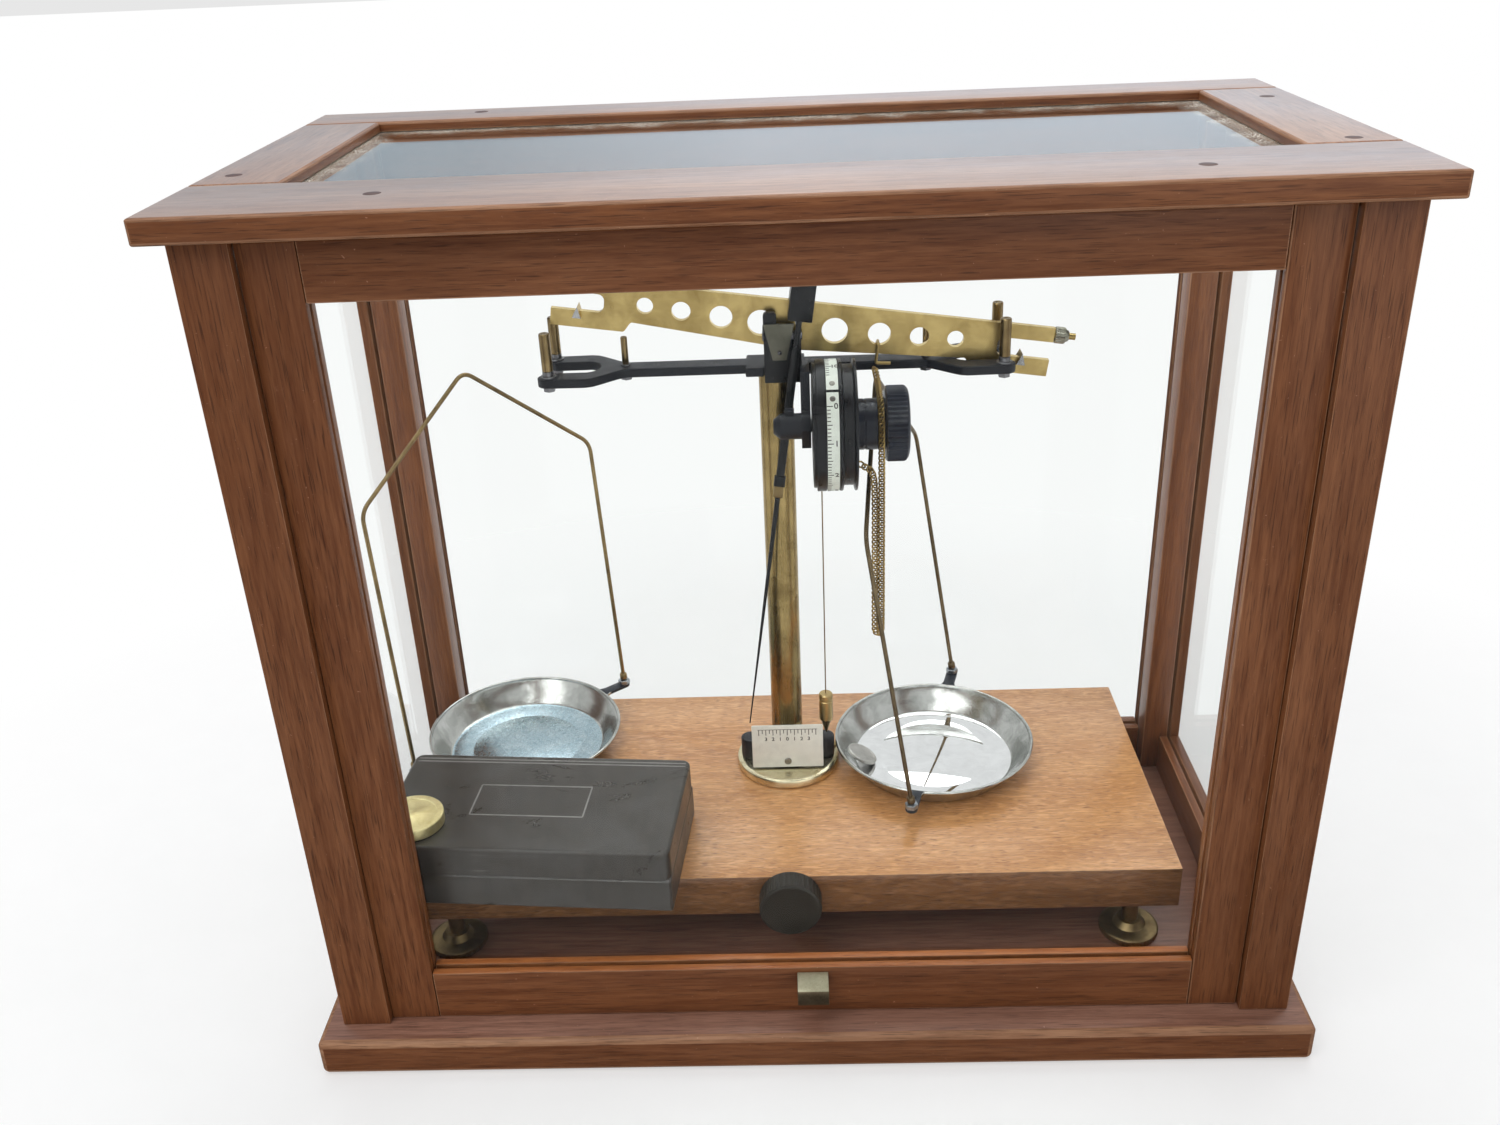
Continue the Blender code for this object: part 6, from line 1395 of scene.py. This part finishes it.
def round_corners(piece):
    """Round the four outer upright corners of the box."""
    back = BOX_AXES.inverted()

    def outer(a, b):
        a, b = back @ a, back @ b
        return (abs(a.x - b.x) + abs(a.y - b.y) < 0.0002 and abs(a.z - b.z) > 0.005
                and abs(a.x) > 0.0712 and abs(a.y) > 0.0377)

    pick(piece, 'EDGE', outer)
    bpy.ops.mesh.bevel(offset=0.0045, segments=6, affect='EDGES')
    bpy.ops.object.mode_set(mode='OBJECT')


def weights_box():
    """Covered box with a tooled panel and a pair of lines on its lid."""
    cloth = box_cloth()
    body = from_solid("weights_box_body", "weights_box_tray")
    round_corners(body)
    ease(body, 0.0003, 2, 50)
    fit(smooth(body), "weights_box_body", cloth)
    lid = from_solid("weights_box_lid", "weights_box_cover")
    round_corners(lid)
    pick(lid, 'EDGE', lambda a, b: a.z > 0.1058 and b.z > 0.1058)
    bpy.ops.mesh.bevel(offset=0.0016, segments=4, affect='EDGES')
    bpy.ops.object.mode_set(mode='OBJECT')
    smooth(lid)
    fit(lid, "weights_box_lid", cloth)
    tooled = metal("tooled_line", (0.13, 0.125, 0.12), (0.24, 0.23, 0.22), 0.4, None, 0.4, 0.2, 0.0)
    line_width = 0.0009
    lines = []
    for x0, y0, x1, y1 in ((-0.030, 0.0125, 0.026, 0.0125), (0.026, 0.0125, 0.026, -0.0118),
                           (0.026, -0.0118, -0.030, -0.0118), (-0.030, -0.0118, -0.030, 0.0125),
                           (-0.0695, 0.0345, 0.0700, 0.0345), (-0.0695, 0.0320, 0.0700, 0.0320)):
        width = max(abs(x1 - x0), line_width)
        depth = max(abs(y1 - y0), line_width)
        lines.append(block((width, depth, 0.00016), ((x0 + x1) / 2, (y0 + y1) / 2, 0)))
    tooling = ease(joined("lid_tooling", lines), 0.00004, 1, 40)
    put(tooling, BOX_AXES @ Matrix.Translation((0, 0, BOX_TOP - SEAT - 0.00005)))
    fit(tooling, "weights_box_lid", tooled, replaces=False)


def loose_weights():
    """Large brass disc on the box, and a small nickel disc leaning in the right pan."""
    low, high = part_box("brass_disc_weight")
    x, y = (low.x + high.x) / 2, (low.y + high.y) / 2
    profile = [(0, 0), (0.0145, 0), (0.0150, 0.0005), (0.0150, 0.0054), (0.0146, 0.0059),
               (0.0140, 0.0060), (0.0118, 0.0060), (0.0114, 0.0057), (0.0030, 0.0057), (0.0026, 0.0059),
               (0, 0.0060)]
    disc = turned("brass_disc", profile, 80)
    put(disc, Matrix.Translation((x, y, low.z)))
    fit(smooth(disc), "brass_disc_weight",
        turned_metal("disc_brass", (x, y, 0), "Z", (0.66, 0.55, 0.24), (0.90, 0.80, 0.44), 0.3))
    low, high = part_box("tare_disc")
    middle = (low + high) / 2
    px, py, turn = RIGHT_PAN[:3]
    bearing = math.radians(188) - turn
    axes = (Matrix.Translation((px, py, SEAT)) @ Matrix.Rotation(turn, 4, 'Z')
            @ Matrix.Translation((0.0394 * math.cos(bearing), 0.0394 * math.sin(bearing), 0))
            @ Matrix.Rotation(bearing, 4, 'Z') @ Matrix.Rotation(math.radians(-27), 4, 'Y'))
    axes.translation = middle
    profile = [(0, -0.0010), (0.0080, -0.0010), (0.0085, -0.0006), (0.0085, 0.0006), (0.0080, 0.0010),
               (0.0070, 0.0010), (0.0067, 0.0008), (0, 0.0008)]
    coin = put(turned("tare_disc_blank", profile, 64), axes)
    fit(smooth(coin), "tare_disc",
        turned_metal("tare_nickel", tuple(middle), "Z", (0.36, 0.35, 0.33), (0.58, 0.57, 0.54), 0.3))


# Surroundings

def studio():
    """White sweep and soft lamps."""
    let_go()
    bpy.ops.mesh.primitive_plane_add(size=12, location=(0, 1.5, -0.0002))
    floor = called("floor")
    floor.data.materials.append(floor_paper())
    for name, (place, aim, size, power) in LAMPS.items():
        bpy.ops.object.light_add(type='AREA', location=place)
        lamp = bpy.context.object
        lamp.name = name
        lamp.data.shape = 'SQUARE'
        lamp.data.size = size
        lamp.data.energy = power
        way = Vector(aim) - Vector(place)
        lamp.rotation_euler = way.to_track_quat('-Z', 'Y').to_euler()


def room():
    """White where the camera looks, plain light elsewhere, and a window for what mirrors it."""
    world = bpy.data.worlds.new("room")
    bpy.context.scene.world = world
    world.use_nodes = True
    nodes, links = world.node_tree.nodes, world.node_tree.links
    nodes.clear()
    way = nodes.new('ShaderNodeTexCoord')
    split = nodes.new('ShaderNodeSeparateXYZ')
    links.new(way.outputs["Generated"], split.inputs[0])

    def blend(share, low, high, first, second):
        """Mix two colours while a share runs from low to high."""
        span = nodes.new('ShaderNodeMapRange')
        span.inputs["From Min"].default_value = low
        span.inputs["From Max"].default_value = high
        links.new(split.outputs[share], span.inputs["Value"])
        mixed = nodes.new('ShaderNodeMix')
        mixed.data_type = 'RGBA'
        links.new(span.outputs[0], mixed.inputs["Factor"])
        for socket, tone in ((mixed.inputs[6], first), (mixed.inputs[7], second)):
            if isinstance(tone, tuple):
                socket.default_value = (*tone, 1)
            else:
                links.new(tone, socket)
        return mixed.outputs[2]

    window = blend("Z", 0.1, 0.55, (0.78, 0.94, 1.1), (1.0, 1.0, 1.0))
    window = blend("X", -0.22, -0.02, (0.44, 0.57, 0.67), window)
    overhead = blend("Z", 0.35, 0.9, (0.12, 0.115, 0.11), (0.75, 0.78, 0.80))
    room = blend("Y", -0.25, 0.35, overhead, window)
    plain = nodes.new('ShaderNodeBackground')
    plain.inputs["Strength"].default_value = 0.4
    plain.inputs["Color"].default_value = (0.97, 0.985, 1.0, 1)
    mirrored = nodes.new('ShaderNodeBackground')
    links.new(room, mirrored.inputs["Color"])
    mirrored.inputs["Strength"].default_value = 1.0
    white = nodes.new('ShaderNodeBackground')
    white.inputs["Strength"].default_value = 1.0
    path = nodes.new('ShaderNodeLightPath')
    first = nodes.new('ShaderNodeMixShader')
    links.new(path.outputs["Is Glossy Ray"], first.inputs[0])
    links.new(plain.outputs[0], first.inputs[1])
    links.new(mirrored.outputs[0], first.inputs[2])
    seen = nodes.new('ShaderNodeMath')
    seen.operation = 'MAXIMUM'
    links.new(path.outputs["Is Camera Ray"], seen.inputs[0])
    links.new(path.outputs["Is Transmission Ray"], seen.inputs[1])
    last = nodes.new('ShaderNodeMixShader')
    links.new(seen.outputs[0], last.inputs[0])
    links.new(first.outputs[0], last.inputs[1])
    links.new(white.outputs[0], last.inputs[2])
    out = nodes.new('ShaderNodeOutputWorld')
    links.new(last.outputs[0], out.inputs["Surface"])


def camera():
    """The photograph's view."""
    yaw, pitch, roll = -0.0387, -0.461, -0.045
    ahead = Vector((math.sin(yaw) * math.cos(pitch), math.cos(yaw) * math.cos(pitch), math.sin(pitch)))
    right = Vector((math.cos(yaw), -math.sin(yaw), 0))
    up = right.cross(ahead)
    across = math.cos(roll) * right + math.sin(roll) * up
    upward = -math.sin(roll) * right + math.cos(roll) * up
    bpy.ops.object.camera_add()
    eye = bpy.context.object
    eye.name = "camera"
    turn = Matrix((across, upward, -ahead)).transposed().to_4x4()
    eye.matrix_world = Matrix.Translation((0, -0.6003, 0.5064)) @ turn
    eye.data.lens = 32.899
    eye.data.sensor_width = 36.0
    eye.data.sensor_fit = 'HORIZONTAL'
    eye.data.clip_start = 0.01
    bpy.context.scene.camera = eye


def build():
    black = enamel("black_enamel")
    matt = enamel("black_casting", (0.008, 0.010, 0.015), 0.38)
    blue = enamel("black_knob", (0.007, 0.010, 0.019), 0.28)
    brass = metal("beam_brass", (0.30, 0.21, 0.075), (0.52, 0.39, 0.16), 0.27, "X", 0.3, 0.25)
    bright = metal("small_brass", (0.30, 0.21, 0.08), (0.55, 0.41, 0.17), 0.24)
    bronze = metal("stop_brass", (0.12, 0.082, 0.036), (0.27, 0.195, 0.095), 0.24, "Z")
    # The right stirrup gets a darker brass than the left one.
    dark = metal("right_stirrup_darker_brass", (0.075, 0.055, 0.033), (0.20, 0.15, 0.085), 0.3)
    old = metal("stirrup_brass", (0.15, 0.105, 0.055), (0.34, 0.25, 0.12), 0.3)
    case_boards()
    screw_plugs()
    panes()
    finger_pull()
    levelling_feet()
    arrest_knob()
    column_and_flange()
    flange_screw(bright)
    scale_and_casting()
    plumb()
    arrest_arm(bronze, matt)
    yoke(black)
    beam(brass)
    pointer(black, bronze)
    chain_hook(bright)
    chain()
    drum(black)
    tape()
    index_arrow(black)
    drum_knob(blue)
    drum_bracket(matt)
    pan("left", LEFT_PAN)
    pan("right", RIGHT_PAN)
    stirrup("left", LEFT_PAN, old)
    stirrup("right", RIGHT_PAN, dark)
    weights_box()
    loose_weights()
    steel = metal("rod_steel", (0.20, 0.20, 0.20), (0.40, 0.40, 0.40), 0.25)
    dress("lift_rod", steel)
    dress("arrest_shaft", steel)
    studio()
    room()
    camera()


build()
bpy.context.scene.view_settings.view_transform = 'Standard'
